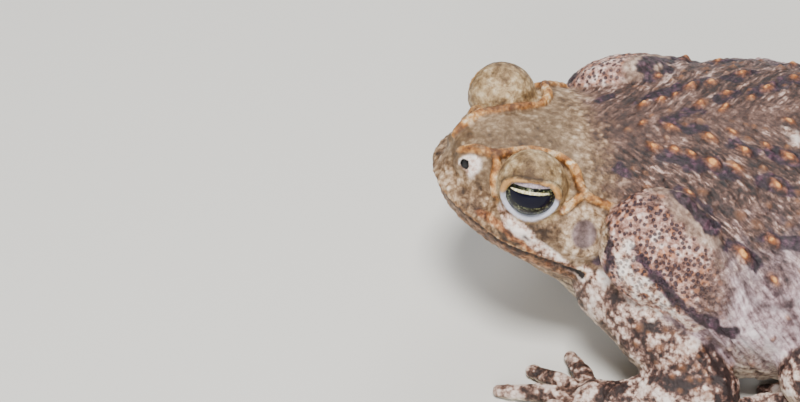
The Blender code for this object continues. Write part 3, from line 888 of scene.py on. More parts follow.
# %% Rims of the lids, the ear drums and the nostrils
RIM_PROBES = 240


def rim_gap(side):
    """How far each point is outside the rolled rim's middle line, and below 0 inside it."""
    middle, axes = eye_middle(side), gaze_axes(side)
    rim = lid_edge(side, RIM_PROBES)
    held = np.nonzero(np.linalg.norm(POINTS - middle, axis=1) < EYE_RADIUS + 3)[0]
    made = gap_on(held, rim, NORMALS)
    rim_ahead, rim_up, _ = ((rim - middle) @ axes).T
    ahead, up, out = ((POINTS[held] - middle) @ axes).T
    turns = np.arctan2(rim_up, rim_ahead)
    order = np.argsort(turns)
    rim_reach = np.hypot(rim_ahead, rim_up)[order]
    rim_reach = np.interp(np.arctan2(up, ahead), turns[order], rim_reach, period=2 * math.pi)
    inside = np.hypot(ahead, up) < rim_reach
    made[held] = np.where(out > 0, np.where(inside, -made[held], made[held]), FAR)
    return made


def above_lids(side):
    """How far each point is above the middle line of the eye's opening."""
    return (POINTS - eye_middle(side)) @ gaze_axes(side)[:, 1]


def drum_distance(side):
    """1 on the edge of the ear drum, less inside it."""
    drum, axes = ear_place(SKULL, side)
    local = (POINTS - drum) @ axes
    flat = np.hypot(local[:, 0] / TYMPANUM_RADII[0], local[:, 1] / TYMPANUM_RADII[1])
    return np.where(abs(local[:, 2]) < 6, flat, 9.0)


UPPER = smooth_step(-0.6, 0.9, np.where(POINTS[:, 0] > 0, above_lids(1), above_lids(-1)))
RIM_GAP = np.where(POINTS[:, 0] > 0, rim_gap(1), rim_gap(-1))
INNER_RIM = smooth_step(0.3, 0.0, RIM_GAP) * (1 - UPPER) + smooth_step(-0.4, -0.6, RIM_GAP) * UPPER
OUTER_RIM = smooth_step(-0.6, -0.4, RIM_GAP) * smooth_step(1.15, 0.8, RIM_GAP)
# On the lower lid the outer rim is weaker: there it is a thin painted shade line
OUTER_RIM *= UPPER + (1 - UPPER) * 0.4
LID_CREASE = np.exp(-(((RIM_GAP - 1.7) / 0.22) ** 2)) * UPPER
DRUM_EDGE = np.minimum(drum_distance(1), drum_distance(-1))
nostril_gaps = [nostril_masses(side)[1].distance(POINTS)[0] for side in (1, -1)]
NOSTRIL_GAP = np.minimum(*nostril_gaps)
print("points on the rims", int((INNER_RIM > 0.5).sum()), int((OUTER_RIM > 0.5).sum()))

# %% [markdown]
# ## Warts and blotches
# The large warts stand in loose rows along the back, and most sit in a dark blotch. Their places
# are given as a station along the trunk and a turn from straight up, in degrees, so one list
# serves both sides. Smaller warts are scattered between them with a seeded draw.

# %% Places of warts and blotches
BACK_CENTRE = 18.0
# Station, turn and radius of each large wart
MAIN_WARTS = (
    (-19.4, -0.8, 1.3), (-13.5, 3.4, 1.7), (-5.3, 11.1, 1.9), (-18.1, 14.1, 1.7),
    (-13.8, 16.2, 1.6), (-10.2, 19.5, 1.4), (-6.1, 24.6, 2.0), (-0.9, 27.4, 1.9),
    (1.8, 18.9, 1.7), (11.8, 22.9, 1.9), (7.6, 35.6, 1.9), (-12.5, 37.1, 1.3),
    (7.2, 15.7, 1.3), (14.1, 1.8, 1.6), (-1.0, -5.9, 1.2), (0.3, 8.4, 1.4),
    (-2.7, 58.6, 2.1), (4.5, 54.6, 1.6), (4.1, 65.6, 1.6), (19.5, 33.0, 2.0),
    (26.5, 20.5, 2.1), (33.5, 36.0, 1.9), (39.0, 14.5, 1.7), (22.0, 52.0, 1.9),
    (31.0, 61.0, 1.7), (15.5, 69.0, 1.8), (46.5, 27.0, 1.8), (43.5, 48.0, 1.6),
    (20.5, 8.5, 1.5), (33.0, 5.0, 1.4),
)
# Start, end and half width of each dark blotch, each end a station and a turn
BLOTCHES = (
    ((-26.0, 9.5), (-20.0, 14.5), 1.5), ((-15.6, 19.5), (-8.6, 24.5), 2.6),
    ((-8.6, 24.5), (-1.2, 30), 2.2), ((-14.5, 0.5), (-6.0, 7.5), 1.9),
    ((-15.0, 37.0), (-9.0, 44.0), 1.8), ((-5.6, 56.0), (0.4, 61.0), 2.5),
    ((2.6, 53.0), (11.5, 56.5), 1.8), ((9.0, 20.0), (15.0, 25.0), 2.4),
    ((5.0, 33.0), (10.0, 38.0), 2.3), ((17.0, 30.0), (23.0, 36.0), 2.7),
    ((24.0, 18.0), (30.0, 23.0), 2.8), ((31.0, 34.0), (37.0, 40.0), 2.5),
    ((20.0, 50.0), (25.0, 56.0), 2.3), ((37.0, 12.0), (42.0, 18.0), 2.3),
    ((44.0, 25.0), (49.0, 31.0), 2.3), ((13.0, 66.0), (18.0, 72.0), 2.2),
    ((0.0, 14.0), (4.0, 20.0), 1.9), ((41.0, 46.0), (46.0, 52.0), 2.0),
)
MIDLINE_TURN = 6.0
# Between two warts, as a share of their radii together
LEAST_GAP = 1.25
# How many small warts, and their least and greatest radius
FILL_WARTS = (150, 0.7, 1.5)
LIMB_WARTS = (34, 0.6, 1.25)
TRUNK = trunk_masses()


def on_back(station, turn, side):
    turn = math.radians(turn) * side
    return skin_point(TRUNK, (0, station, BACK_CENTRE), (math.sin(turn), 0, math.cos(turn)))


def spread(draw, sizes, ray, masses, taken, keep_off):
    """Wart places along drawn rays, none crowding another or lying on the masses to keep off."""
    count, least, greatest = sizes
    places = []
    for _ in range(12 * count):
        inside, direction = ray(draw)
        radius = least + (greatest - least) * draw.random() ** 1.8
        point, outward = skin_point(masses, inside, direction)
        if distance_to(keep_off, point[None])[0] < radius:
            continue
        others = taken + places
        gaps = (np.linalg.norm(point - place) / (radius + other) for place, _, other in others)
        if all(gap > LEAST_GAP for gap in gaps):
            places.append((point, outward, radius))
        if len(places) == count:
            break
    return places


def back_ray(draw):
    """A ray from the middle of the trunk out through the back or the flank."""
    turn = math.radians(draw.uniform(-100, 100))
    return (0, draw.uniform(-26, 58), BACK_CENTRE), (math.sin(turn), 0, math.cos(turn))


def limb_ray(start, end, side):
    """Rays from a limb's middle line up and out through its skin."""

    def ray(draw):
        inside = along(on_side(start, side), on_side(end, side), draw.uniform(0.1, 0.95))
        turn = math.radians(draw.uniform(-50, 95))
        return inside, (side * math.sin(turn), 0, math.cos(turn))

    return ray


draw = random.Random(7)
MAIN = []
for station, turn, radius in MAIN_WARTS:
    for side in (1, -1) if turn > MIDLINE_TURN else (1,):
        MAIN.append((*on_back(station, turn, side), radius))
keep_off = [Ball(head_point(0, FAR - 18, 0), (FAR, FAR, FAR)), *GLANDS[1], *GLANDS[-1]]
FILL = spread(draw, FILL_WARTS, back_ray, TRUNK, MAIN, keep_off + LIMBS)
ON_LIMBS = []
for side in (1, -1):
    for start, end in ((HIP, KNEE), (KNEE, HEEL), (SHOULDER, ELBOW)):
        ray = limb_ray(start, end, side)
        limb = leg_masses(side) if start != SHOULDER else arm_masses(side)
        ON_LIMBS += spread(draw, LIMB_WARTS, ray, limb, ON_LIMBS, keep_off + TRUNK)
print("large warts", len(MAIN), "small", len(FILL), "on limbs", len(ON_LIMBS))

# %% [markdown]
# ## The relief
# A bump in the material could fake the relief, but the exported mesh would stay smooth. So every
# point is pushed out along its own slope by the sum of all these. Granules are low on the crown
# and high on the flanks. The gland swells in soft lumps. Each wart is a low cone with a horny
# tip. Folds run where the skin bends, behind the arm and along the flank.

# %% Warts as relief
ORDER = np.argsort(POINTS[:, 1])
RANKED = POINTS[ORDER]
WART_HEIGHT = 0.36
TIP_HEIGHT = 0.2
RUN_BACK = 0.62
RUN_DOWN = 0.79


def near_place(place, reach):
    """The skin's points within that reach of a place."""
    low, high = np.searchsorted(RANKED[:, 1], (place[1] - reach, place[1] + reach))
    offset = RANKED[low:high] - place
    held = np.einsum("ij,ij->i", offset, offset) < reach**2
    return ORDER[low:high][held]


def wrinkle_run(place, outward):
    """The way the wrinkles lie at a place: back and down from the middle of the back."""
    around = np.cross((0, 1, 0), outward) * (1 if place[0] > 0 else -1)
    run = RUN_BACK * np.array((0, 1, 0)) + RUN_DOWN * around
    return run / np.linalg.norm(run)


def wart_relief(places, stretch):
    """Height of the warts, and where their cones and their horny tips are."""
    height, cone, tip = (np.zeros(len(POINTS)) for _ in range(3))
    for place, outward, radius in places:
        held = near_place(place, 2.2 * radius)
        offset = POINTS[held] - place
        flat = offset - (offset @ outward)[:, None] * outward
        along_run = flat @ wrinkle_run(place, outward)
        across = np.sqrt(np.maximum((flat**2).sum(1) - along_run**2, 0))
        flat = np.hypot(along_run / stretch, across * math.sqrt(stretch)) / radius
        raised = radius * (WART_HEIGHT * dome(flat, 1.25) + TIP_HEIGHT * dome(flat, 0.5))
        height[held] = np.maximum(height[held], raised)
        cone[held] = np.maximum(cone[held], smooth_step(1.15, 0.7, flat))
        tip[held] = np.maximum(tip[held], smooth_step(0.6, 0.25, flat))
    return height, cone, tip


small_height, SMALL_CONE, SMALL_TIP = wart_relief(FILL + ON_LIMBS, 1.1)
main_height, MAIN_CONE, MAIN_TIP = wart_relief(MAIN, 1.5)
wart_height = np.maximum(small_height, main_height)
print("points on warts", int((SMALL_CONE > 0.5).sum()), int((MAIN_CONE > 0.5).sum()))


# %% Blotches
def along_line(line, half, soft=0.35, rough=1.5):
    """1 along a line, given with the half width at its ends, with a ragged edge."""
    line = np.array(line, float)
    middle = line.mean(0)
    held = near_place(middle, np.linalg.norm(line - middle, axis=1).max() + max(half) + 3)
    halves = np.linspace(*half, len(line))
    gaps = [rod.distance(POINTS[held])[0] for rod in chain(line, halves)]
    made = np.zeros(len(POINTS))
    made[held] = smooth_step(soft, -soft, np.min(gaps, axis=0) + rough * RAGGED[held])
    return made


BLOTCH = np.zeros(len(POINTS))
for start, end, half in BLOTCHES:
    for side in (1, -1):
        ends = [on_back(*place, side)[0] for place in (start, end)]
        BLOTCH = np.maximum(BLOTCH, along_line(ends, (half, 0.8 * half)))
print("points in blotches", int((BLOTCH > 0.5).sum()))

# %% Streaks of the cheek, the gland and the neck
# Each line's half widths at its ends, and its points on the left of the head
CHEEK_LINES = (
    ("pale", (1.2, 2.0), (
        (18.0, 7.9, -3.8), (21.4, 5.4, -5.6), (23.3, 2.4, -7.2), (24.4, -1.4, -9.8),
        (24.7, -5.9, -12.8), (25.6, -9.4, -15.0), (26.0, -13.0, -15.6),
    )),
    ("brown", (0.8, 1.0), (
        (14.9, 11.8, -6.6), (18.5, 9.2, -7.2), (21.4, 6.4, -7.8), (23.1, 3.2, -9.2),
        (23.6, -1.1, -12.2), (24.2, -5.0, -14.8),
    )),
    ("dark", (0.7, 0.7), ((23.6, 2.3, -7.9), (23.9, 1.5, -8.3))),
    # Painted shade in the fold behind the ear drum, deepening its darker skin
    ("dark", (0.5, 1.2), ((25.2, -16.4, -5.5), (25.8, -16.2, -9.0), (26.2, -15.6, -12.5))),
    # Painted shade on the cheek below and behind the eye, in a darker olive-brown
    ("dusk", (2.2, 2.6), (
        (20.6, 0.6, -6.6), (22.6, -4.6, -8.6), (23.8, -9.6, -10.8), (24.6, -13.6, -9.0),
    )),
    # Painted shade behind the ear drum
    ("dusk", (1.0, 1.6), ((21.6, -15.2, -0.6), (23.6, -15.6, -4.6), (24.8, -15.2, -9.0))),
)
# The same for lines behind the head, with places from the floor's middle
BODY_LINES = (
    ("pale", (2.2, 2.0), (
        (33.0, -29.0, 41.4), (35.4, -28.5, 38.2), (37.4, -27.0, 34.5), (38.2, -24.0, 30.5),
        (37.6, -21.4, 26.9),
    )),
    ("pale", (2.2, 1.2), ((38.0, -24.0, 35.0), (41.2, -19.5, 30.0), (43.4, -13.0, 25.0))),
    ("pale", (1.0, 0.9), ((25.6, -36.3, 30.1), (29.6, -32.0, 29.4))),
    # Painted shade in the fold between the ear drum and the gland, over its darker skin
    ("dark", (1.5, 1.6), (
        (28.0, -32.0, 43.4), (31.2, -32.0, 41.4), (33.2, -31.6, 37.8), (31.5, -31.8, 31.5),
    )),
    # Painted shadow along the gland's lower edge
    ("dark", (1.1, 1.9), (
        (36.2, -25.5, 41.0), (38.8, -22.4, 37.4), (41.0, -18.8, 34.0), (42.8, -14.4, 30.6),
        (43.9, -9.9, 28.2), (44.4, -5.8, 26.2),
    )),
    ("dark", (1.6, 2.2), ((23.5, -16.2, 48.6), (27.5, -12.5, 47.3), (31.5, -8.5, 44.8))),
    ("dark", (1.5, 1.2), ((12.5, -27.4, 47.4), (14.0, -25.6, 47.4))),
)
# A painted highlight on the left of the back only
BACK_HIGHLIGHT = ((0.8, 1.3), ((3.6, 13.0, 54.0), (6.6, 15.0, 53.0), (9.4, 14.4, 52.4)))
MARKS = {name: np.zeros(len(POINTS)) for name in ("pale", "brown", "dark", "dusk")}


def on_skin(places):
    return drawn_onto(BODY_MASSES, np.array(places, float), rounds=8)


for side in (1, -1):
    for name, half, line in CHEEK_LINES:
        placed = on_skin([head_point(*on_side(place, side)) for place in line])
        MARKS[name] = np.maximum(MARKS[name], along_line(placed, half, 0.35, 0.75))
    for name, half, line in BODY_LINES:
        placed = on_skin([on_side(place, side) for place in line])
        MARKS[name] = np.maximum(MARKS[name], along_line(placed, half))
# The painted highlight on the back joins the pale marks
back_highlight = 0.75 * along_line(on_skin(BACK_HIGHLIGHT[1]), BACK_HIGHLIGHT[0], 0.9)
MARKS["pale"] = np.maximum(MARKS["pale"], back_highlight)
print({name: int((values > 0.5).sum()) for name, values in MARKS.items()})

# %% Granules
near_middle, number = pebbles(POINTS, 1.35, 3)
GRANULE = dome(near_middle, 0.7) * (0.3 + 0.7 * number)
near_middle, number = pebbles(POINTS, 4.2, 4)
LUMP = dome(near_middle, 0.62) * smooth_step(0.35, 0.8, number)
near_middle, number = pebbles(POINTS, 2.3, 5)
GLAND_LUMP = dome(near_middle, 0.85)
print("points on lumps", int((LUMP > 0.5).sum()), "on fine ones", int((GLAND_LUMP > 0.5).sum()))

# %% Wrinkles
# They run back and down around the trunk, so the skin is laid out flat and squeezed along that run
SKIN_GIRTH = 36.0
SQUEEZE = 0.15
around = np.arctan2(abs(POINTS[:, 0]), POINTS[:, 2] - BACK_CENTRE) * SKIN_GIRTH
depth = np.hypot(POINTS[:, 0], POINTS[:, 2] - BACK_CENTRE) + 0.25 * SIDE * around
waver = 3 * (clouds(POINTS, 9.0, 14) - 0.5)
along_run = RUN_BACK * POINTS[:, 1] + RUN_DOWN * around
across_run = RUN_DOWN * POINTS[:, 1] - RUN_BACK * around + waver
LIE = np.column_stack((SQUEEZE * along_run, across_run, 0.7 * depth))
WRINKLE = clouds(LIE, 1.1, 12)
FOLDS = abs(clouds(LIE, 3.0, 11) - 0.5) * 2
print("the skin is laid out", np.ptp(LIE, axis=0).round(1), "mm long, wide and deep")

# %% Regions, and the sum of the relief
HEAD_TOP = ON_HEAD * smooth_step(-6, -1, UPWARD) * smooth_step(-19, -7, FORWARD) * (1 - LID)
UNDER = smooth_step(0.1, -0.5, NORMALS[:, 2]) * smooth_step(26, 12, POINTS[:, 2])
RUMP = smooth_step(0.55, 0.8, NORMALS[:, 1]) * (POINTS[:, 1] > 20)
FLANK = smooth_step(20, 34, abs(POINTS[:, 0])) * smooth_step(-26, -14, POINTS[:, 1])
FLANK *= smooth_step(48, 30, POINTS[:, 2] + 8 * RAGGED) * (1 - ON_LIMB)
BARE = (1 - ON_HEAD) * (1 - GLAND)
DRUM = smooth_step(1.12, 0.92, DRUM_EDGE)
SMOOTH = np.maximum.reduce([INNER_RIM, OUTER_RIM, DRUM, smooth_step(1.5, 0.8, LIP_GAP)])
granule_height = 0.34 - 0.24 * HEAD_TOP - 0.12 * UNDER - 0.16 * GLAND - 0.16 * RIDGE - 0.16 * LID
wrinkled = BARE * (1 - 0.7 * ON_LIMB) * smooth_step(0, 10, around) * (1 - RUMP)
relief = granule_height * GRANULE + 0.5 * LUMP * BARE * (1 - 0.6 * UNDER)
relief += 0.6 * (WRINKLE - 0.5) * wrinkled + 0.4 * GLAND * GLAND_LUMP + wart_height
relief -= 0.55 * FLANK * smooth_step(0.3, 0.0, FOLDS)
relief *= 1 - SMOOTH * 0.9
relief -= 0.35 * LID_CREASE + 0.6 * smooth_step(0.25, -0.15, NOSTRIL_GAP)
relief += 0.25 * np.exp(-((RIM_GAP / 0.7) ** 2)) * UPPER
relief *= smooth_step(-0.3, 1.5, POINTS[:, 2])
print("relief to", relief.max().round(2), "mm")

# %% Push the skin out, even the rims of the lids and shade it smooth
RIM_REACH = 1.0
RIM_SMOOTHING = 14
moved = POINTS + relief[:, None] * NORMALS
moved[:, 2] = np.maximum(moved[:, 2], UNDERSIDE)
skin.data.vertices.foreach_set("co", (moved * MM).ravel())
skin.data.update()
rims = skin.vertex_groups.new(name="rims")
rims.add(np.nonzero(abs(RIM_GAP) < RIM_REACH)[0].tolist(), 1.0, "REPLACE")
even = skin.modifiers.new("even", "SMOOTH")
even.vertex_group = "rims"
even.iterations = RIM_SMOOTHING
with_modifiers_applied(skin)
skin.data.shade_smooth()
print("box of the skin in mm", moved.min(0).round(1), moved.max(0).round(1))


# %% Marks that the colours use
# The pale patch around each nostril, given on the left
PATCH_CENTRE = np.array((7.0, 12.9, -0.3))
PATCH_SIZE = np.array((3.0, 3.4, 2.4))


def mark(name, values, kind="FLOAT", field="value"):
    """Stores a mask, or a place for each point, on the skin under that name."""
    made = skin.data.attributes.new(name, kind, "POINT")
    made.data.foreach_set(field, np.ravel(values).astype(np.float32))


above_lip = JAW_LOCAL[:, 2] - (LIPS - JAW_HINGE)[0] @ JAW_AXES[:, 2]
lip_height = smooth_step(-0.2, 0.4, above_lip)
patch = np.linalg.norm((HEAD_LOCAL * MIRROR - PATCH_CENTRE) / PATCH_SIZE, axis=1)
gland_axes = GLANDS[1][0].axes
gland_place = (POINTS * MIRROR - GLANDS[1][0].centre) @ gland_axes
outward = -np.sign(gland_axes[0, 0]) * gland_place[:, 0]
gland_core = smooth_step(9.0, 6.5, outward + 0.1 * gland_place[:, 1] + 3 * RAGGED)
across_gland = outward[GLAND > 0.5]
print("glands from", across_gland.min().round(1), "to", across_gland.max().round(1), "mm")
for name, values in {
    "ridge": RIDGE,
    "ridge_top": RIDGE_TOP_HIGHLIGHT,
    "lid": LID,
    "gland": GLAND,
    "gland_core": gland_core,
    "head": ON_HEAD,
    "face": ON_HEAD * smooth_step(-21, -13, FORWARD + 3 * RAGGED),
    "crown": HEAD_TOP,
    "under": UNDER,
    "granule": GRANULE,
    "small_cone": SMALL_CONE,
    "small_tip": SMALL_TIP,
    "main_cone": MAIN_CONE,
    "main_tip": MAIN_TIP,
    "blotch": BLOTCH,
    "limb": ON_LIMB,
    "flank": FLANK,
    "inner_rim": INNER_RIM,
    "outer_rim": OUTER_RIM,
    "upper": UPPER,
    "drum": smooth_step(0.86, 0.66, DRUM_EDGE),
    "drum_ring": smooth_step(1.6, 1.3, DRUM_EDGE),
    "lip": smooth_step(2.0, 1.3, LIP_GAP) * lip_height,
    # Painted shade under the lip, darkening the lower jaw's brown
    "chin": smooth_step(5.0, 2.5, LIP_GAP) * (1 - lip_height) * ON_HEAD,
    # The groove, the nostril, the folds and the crease hold painted shade in those hollows
    "groove": smooth_step(1.35, 0.95, LIP_GAP),
    "nostril": smooth_step(0.32, 0.05, NOSTRIL_GAP),
    "nostril_patch": smooth_step(1.15, 0.75, patch + 0.5 * RAGGED) * ON_HEAD,
    "folds": FLANK * smooth_step(0.25, 0.0, FOLDS),
    "crease": LID_CREASE,
    "streaky": (0.3 + 0.7 * smooth_step(1, 13, around)) * (1 - RUMP),
    **MARKS,
}.items():
    mark(name, values)
mark("lie", LIE, "FLOAT_VECTOR", "vector")
mark("gland_place", gland_place, "FLOAT_VECTOR", "vector")
print("marks", len(skin.data.attributes))

# %% [markdown]
# ## Writing a material as sums
# Node trees are hard to read as lists of links. One small class wraps a socket, so that sums and
# products of masks read as Python, and every other node comes from its one method.

# %% The socket class
class Wire:
    """A socket in a material's node tree, which can be used in sums."""

    def __init__(self, tree, socket=None):
        self.tree = tree
        self.socket = socket

    def add(self, kind, settings=None, sockets=None, output=0):
        """A new node: its settings first, then its sockets' values or links, and one output."""
        node = self.tree.nodes.new(kind)
        for name, value in (settings or {}).items():
            if name == "stops":
                while len(node.color_ramp.elements) < len(value):
                    node.color_ramp.elements.new(1)
                for stop, (place, colour) in zip(node.color_ramp.elements, value):
                    stop.position = place
                    stop.color = colour
            else:
                setattr(node, name, value)
        for name, value in (sockets or {}).items():
            if isinstance(value, Wire):
                self.tree.links.new(value.socket, node.inputs[name])
            else:
                node.inputs[name].default_value = value
        return Wire(self.tree, node.outputs[output])

    def sum(self, operation, *values):
        return self.add("ShaderNodeMath", {"operation": operation}, dict(enumerate(values)))

    def __add__(self, other):
        return self.sum("ADD", self, other)

    def __sub__(self, other):
        return self.sum("SUBTRACT", self, other)

    def __rsub__(self, other):
        return self.sum("SUBTRACT", other, self)

    def __mul__(self, other):
        return self.sum("MULTIPLY", self, other)

    def __truediv__(self, other):
        return self.sum("DIVIDE", self, other)

    def __pow__(self, other):
        return self.sum("POWER", self, other)

    __radd__ = __add__
    __rmul__ = __mul__

    def between(self, low, high):
        """0 below low, 1 above high, and a smooth step from one to the other."""
        settings = {"interpolation_type": "SMOOTHSTEP"}
        sockets = {"Value": self, "From Min": low, "From Max": high}
        return self.add("ShaderNodeMapRange", settings, sockets)

    def mix(self, below, above):
        """Colour below where this is 0, and above where it is 1."""
        return self.add("ShaderNodeMix", {"data_type": "RGBA"}, {0: self, 6: below, 7: above}, 2)


def new_material(name):
    """A material with its bare shader, and a wire to start from."""
    material = bpy.data.materials.new(name)
    material.use_nodes = True
    shader = material.node_tree.nodes["Principled BSDF"]
    return material, shader, Wire(material.node_tree)


print("besides its sums a wire has", [name for name in vars(Wire) if not name.startswith("_")])

# %% [markdown]
# ## The skin's colours
# A toad is speckled at every distance. One colour for each region with some bump would look like
# paint, so each region has its own run of tones, from the dark gaps between granules to their
# pale tips, and noises of several sizes pick the tone. Over that ground go layers, each with the
# mask that holds it: the gland and its dark pores, blotches and orange wart tips, the pale cheek,
# the crests, the lips and the rims of the lids. Some layers paint light and shade: a painted
# highlight on the large wart tips, along the crests' tops and on one spot of the back, and painted
# shade on the side of the head, under the lip, in the folds and the creases, in the mouth, in the
# nostrils and below the lower rims.

# %% Colours as they look on a screen
def tone(red, green, blue):
    """A colour given as it looks on a screen, from 0 to 255, as the shader's own light values."""
    parts = [part / 255 for part in (red, green, blue)]
    lit = [part / 12.92 if part < 0.04 else ((part + 0.055) / 1.055) ** 2.4 for part in parts]
    return (*lit, 1)


print("a middle grey is", [round(part, 3) for part in tone(128, 128, 128)])


# %% Masks, noises, tones and layers
def masked(wire, name):
    """A mask that was stored on the skin."""
    return wire.add("ShaderNodeAttribute", {"attribute_name": name}, output="Fac")


def stored_place(wire, name):
    """A place that was stored for each point of the skin."""
    return wire.add("ShaderNodeAttribute", {"attribute_name": name}, output="Vector")


def noise(where, scale, detail=3.0, rough=0.55, distortion=0.0):
    """A fractal noise around 0."""
    sockets = {"Vector": where, "Scale": scale, "Detail": detail}
    sockets.update({"Roughness": rough, "Distortion": distortion})
    return where.add("ShaderNodeTexNoise", {}, sockets) - 0.5


def spots(where, scale, low, high):
    """1 in scattered spots, and 0 between them."""
    sockets = {"Vector": where, "Scale": scale, "Randomness": 0.9}
    return where.add("ShaderNodeTexVoronoi", {}, sockets).between(high, low)


def tones(value, stops):
    """The colour that a value from 0 to 1 picks from a run of tones."""
    ramp = {"stops": [(share, tone(*colour)) for share, colour in stops]}
    return value.add("ShaderNodeValToRGB", ramp, {0: value})


def painted(wire, colour, layers):
    """The colour under layers, each a mask or a mask's name, a strength and a colour."""
    for mask, strength, above in layers:
        mask = masked(wire, mask) if isinstance(mask, str) else mask
        colour = (mask * strength).mix(colour, above)
    return colour


# %% The skin's grain
def skin_grain(wire):
    """Noises around 0, from fine to broad and along the wrinkles, and values that pick tones."""
    place = wire.add("ShaderNodeTexCoord", output="Object")
    grain = SimpleNamespace(place=place, granule=masked(wire, "granule"))
    grain.fine = noise(place, 560.0, 6.0, 0.75)
    grain.mid = noise(place, 210.0, 4.0, 0.6)
    grain.broad = noise(place, 75.0, 2.0)
    grain.streaks = noise(stored_place(wire, "lie"), 1.1, 4.0, 0.6)
    grain.speckle = 0.5 + grain.fine * 1.5 + (grain.granule - 0.35) * 0.3
    grain.calm = 0.5 + grain.fine * 0.9 + grain.mid * 0.6 + (grain.granule - 0.3) * 0.22
    grain.face = 0.51 + grain.fine * 1.1 + grain.mid * 0.7 + grain.broad * 0.4
    grain.face = grain.face + (grain.granule - 0.35) * 0.25
    return grain


# %% The skin's ground
# Each run of tones gives shares from 0 to 1, and the colour on a screen at each
BACK_TONES = (
    (0.25, (22, 12, 12)), (0.42, (56, 36, 29)), (0.53, (86, 59, 49)), (0.64, (128, 97, 84)),
    (0.78, (212, 182, 170)),
)
FLANK_TONES = (
    (0.28, (70, 48, 52)), (0.42, (132, 106, 108)), (0.52, (172, 146, 150)), (0.64, (212, 190, 194)),
    (0.78, (238, 224, 226)),
)
LIMB_TONES = (
    (0.30, (34, 19, 18)), (0.42, (92, 62, 53)), (0.51, (160, 127, 112)), (0.62, (220, 193, 180)),
    (0.76, (248, 232, 222)),
)
NECK_TONES = (
    (0.25, (42, 26, 22)), (0.42, (84, 57, 45)), (0.54, (120, 87, 71)), (0.70, (170, 138, 120)),
)
HEAD_TONES = (
    (0.25, (48, 30, 16)), (0.40, (108, 80, 54)), (0.52, (160, 130, 98)), (0.66, (202, 174, 144)),
    (0.8, (234, 212, 188)),
)
CROWN_TONES = (
    (0.22, (56, 38, 22)), (0.42, (108, 84, 58)), (0.56, (142, 117, 88)), (0.72, (184, 160, 132)),
)
LID_TONES = (
    (0.25, (84, 60, 32)), (0.42, (138, 110, 74)), (0.56, (180, 151, 110)), (0.72, (216, 194, 156)),
)
UNDER_TONES = (
    (0.3, (96, 76, 62)), (0.45, (176, 154, 128)), (0.6, (216, 200, 172)), (0.75, (234, 222, 200)),
)
VEIN_BROWN = (104, 74, 48)


def ground_colour(wire, grain):
    """The trunk, the flanks, the limbs and the head, each in its own run of tones."""
    bands = noise(stored_place(wire, "lie"), 0.4, 2.0)
    lines = (grain.streaks * 1.15 + bands * 0.5) * masked(wire, "streaky")
    ground = 0.51 + grain.fine * 0.8 + lines + grain.broad * 0.5
    soft = ground - lines * 0.35 + grain.mid * 0.5 + grain.broad * 0.3 - 0.02
    spotted = 0.5 + grain.fine * 1.2 + grain.mid * 1.6 + grain.broad * 0.5
    spotted = spotted + (grain.granule - 0.35) * 0.3
    veins = wire.sum("ABSOLUTE", noise(grain.place, 300.0, 2.0, 0.5, 1.4)).between(0.05, 0.0)
    return painted(wire, tones(ground, BACK_TONES), (
        ("flank", 1, tones(soft, FLANK_TONES)),
        ("limb", 1, tones(spotted, LIMB_TONES)),
        ("head", 1, tones(grain.calm + grain.streaks * 0.6, NECK_TONES)),
        ("face", 1, tones(grain.face, HEAD_TONES)),
        ("crown", 1, tones(grain.calm + grain.broad * 0.3, CROWN_TONES)),
        ("lid", 1, tones(grain.calm + grain.mid * 0.6, LID_TONES)),
        ("face", veins * 0.4, tone(*VEIN_BROWN)),
        ("under", 0.85, tones(grain.speckle + grain.mid * 0.8, UNDER_TONES)),
    ))


# %% The glands' layers
GLAND_TONES = (
    (0.25, (70, 42, 36)), (0.40, (134, 94, 80)), (0.54, (184, 142, 128)), (0.68, (224, 190, 178)),
    (0.8, (246, 226, 218)),
)
MARGIN_TONES = (
    (0.25, (78, 54, 44)), (0.44, (136, 108, 92)), (0.58, (178, 150, 132)), (0.74, (214, 190, 174)),
)
WARM_DOT = (196, 124, 78)
PORE = (44, 28, 40)


def gland_layers(wire, grain):
    """The gland's tan margin, its pink core, warm dots and dark pores, and the pores' mask."""
    on_gland = stored_place(wire, "gland_place")
    gland = masked(wire, "gland")
    core = gland * masked(wire, "gland_core")
    pores = spots(on_gland, 0.95, 0.3, 0.5) * core
    layers = (
        (gland, 1, tones(grain.calm + grain.broad * 0.4, MARGIN_TONES)),
        (core, 1, tones(grain.speckle + grain.broad * 0.9, GLAND_TONES)),
        (spots(on_gland, 0.55, 0.24, 0.42) * core, 0.55, tone(*WARM_DOT)),
        (pores, 0.88, tone(*PORE)),
    )
    return layers, pores


# %% The warts' layers
# Tones of the dark blotches, used for the painted shade in folds too
BLOTCH_AND_SHADE_TONES = ((0.3, (10, 3, 12)), (0.5, (40, 19, 36)), (0.7, (90, 56, 74)))
BROWN_TONES = (
    (0.3, (70, 36, 18)), (0.46, (136, 80, 44)), (0.62, (190, 128, 78)), (0.78, (226, 180, 130)),
)
CONE_BROWN = (146, 100, 70)
TIP_ORANGE = (184, 106, 50)
TIP_HIGHLIGHT = (232, 168, 98)


def wart_layers(wire, grain):
    """Dark blotches, and warts with brown cones and orange tips that hold a painted highlight."""
    light = grain.fine.between(-0.08, 0.06)
    return (
        ("blotch", 0.92, tones(grain.speckle, BLOTCH_AND_SHADE_TONES)),
        ("small_cone", 0.35, tone(*CONE_BROWN)),
        ("small_tip", 0.5, tones(grain.speckle, BROWN_TONES)),
        ("main_cone", 0.5, tones(grain.speckle - 0.06, BROWN_TONES)),
        ("main_tip", 0.75 + grain.fine, tone(*TIP_ORANGE)),
        # A painted highlight in the middle of each large tip, broken up by the fine noise
        (masked(wire, "main_tip").between(0.55, 1.0), light, tone(*TIP_HIGHLIGHT)),
    )


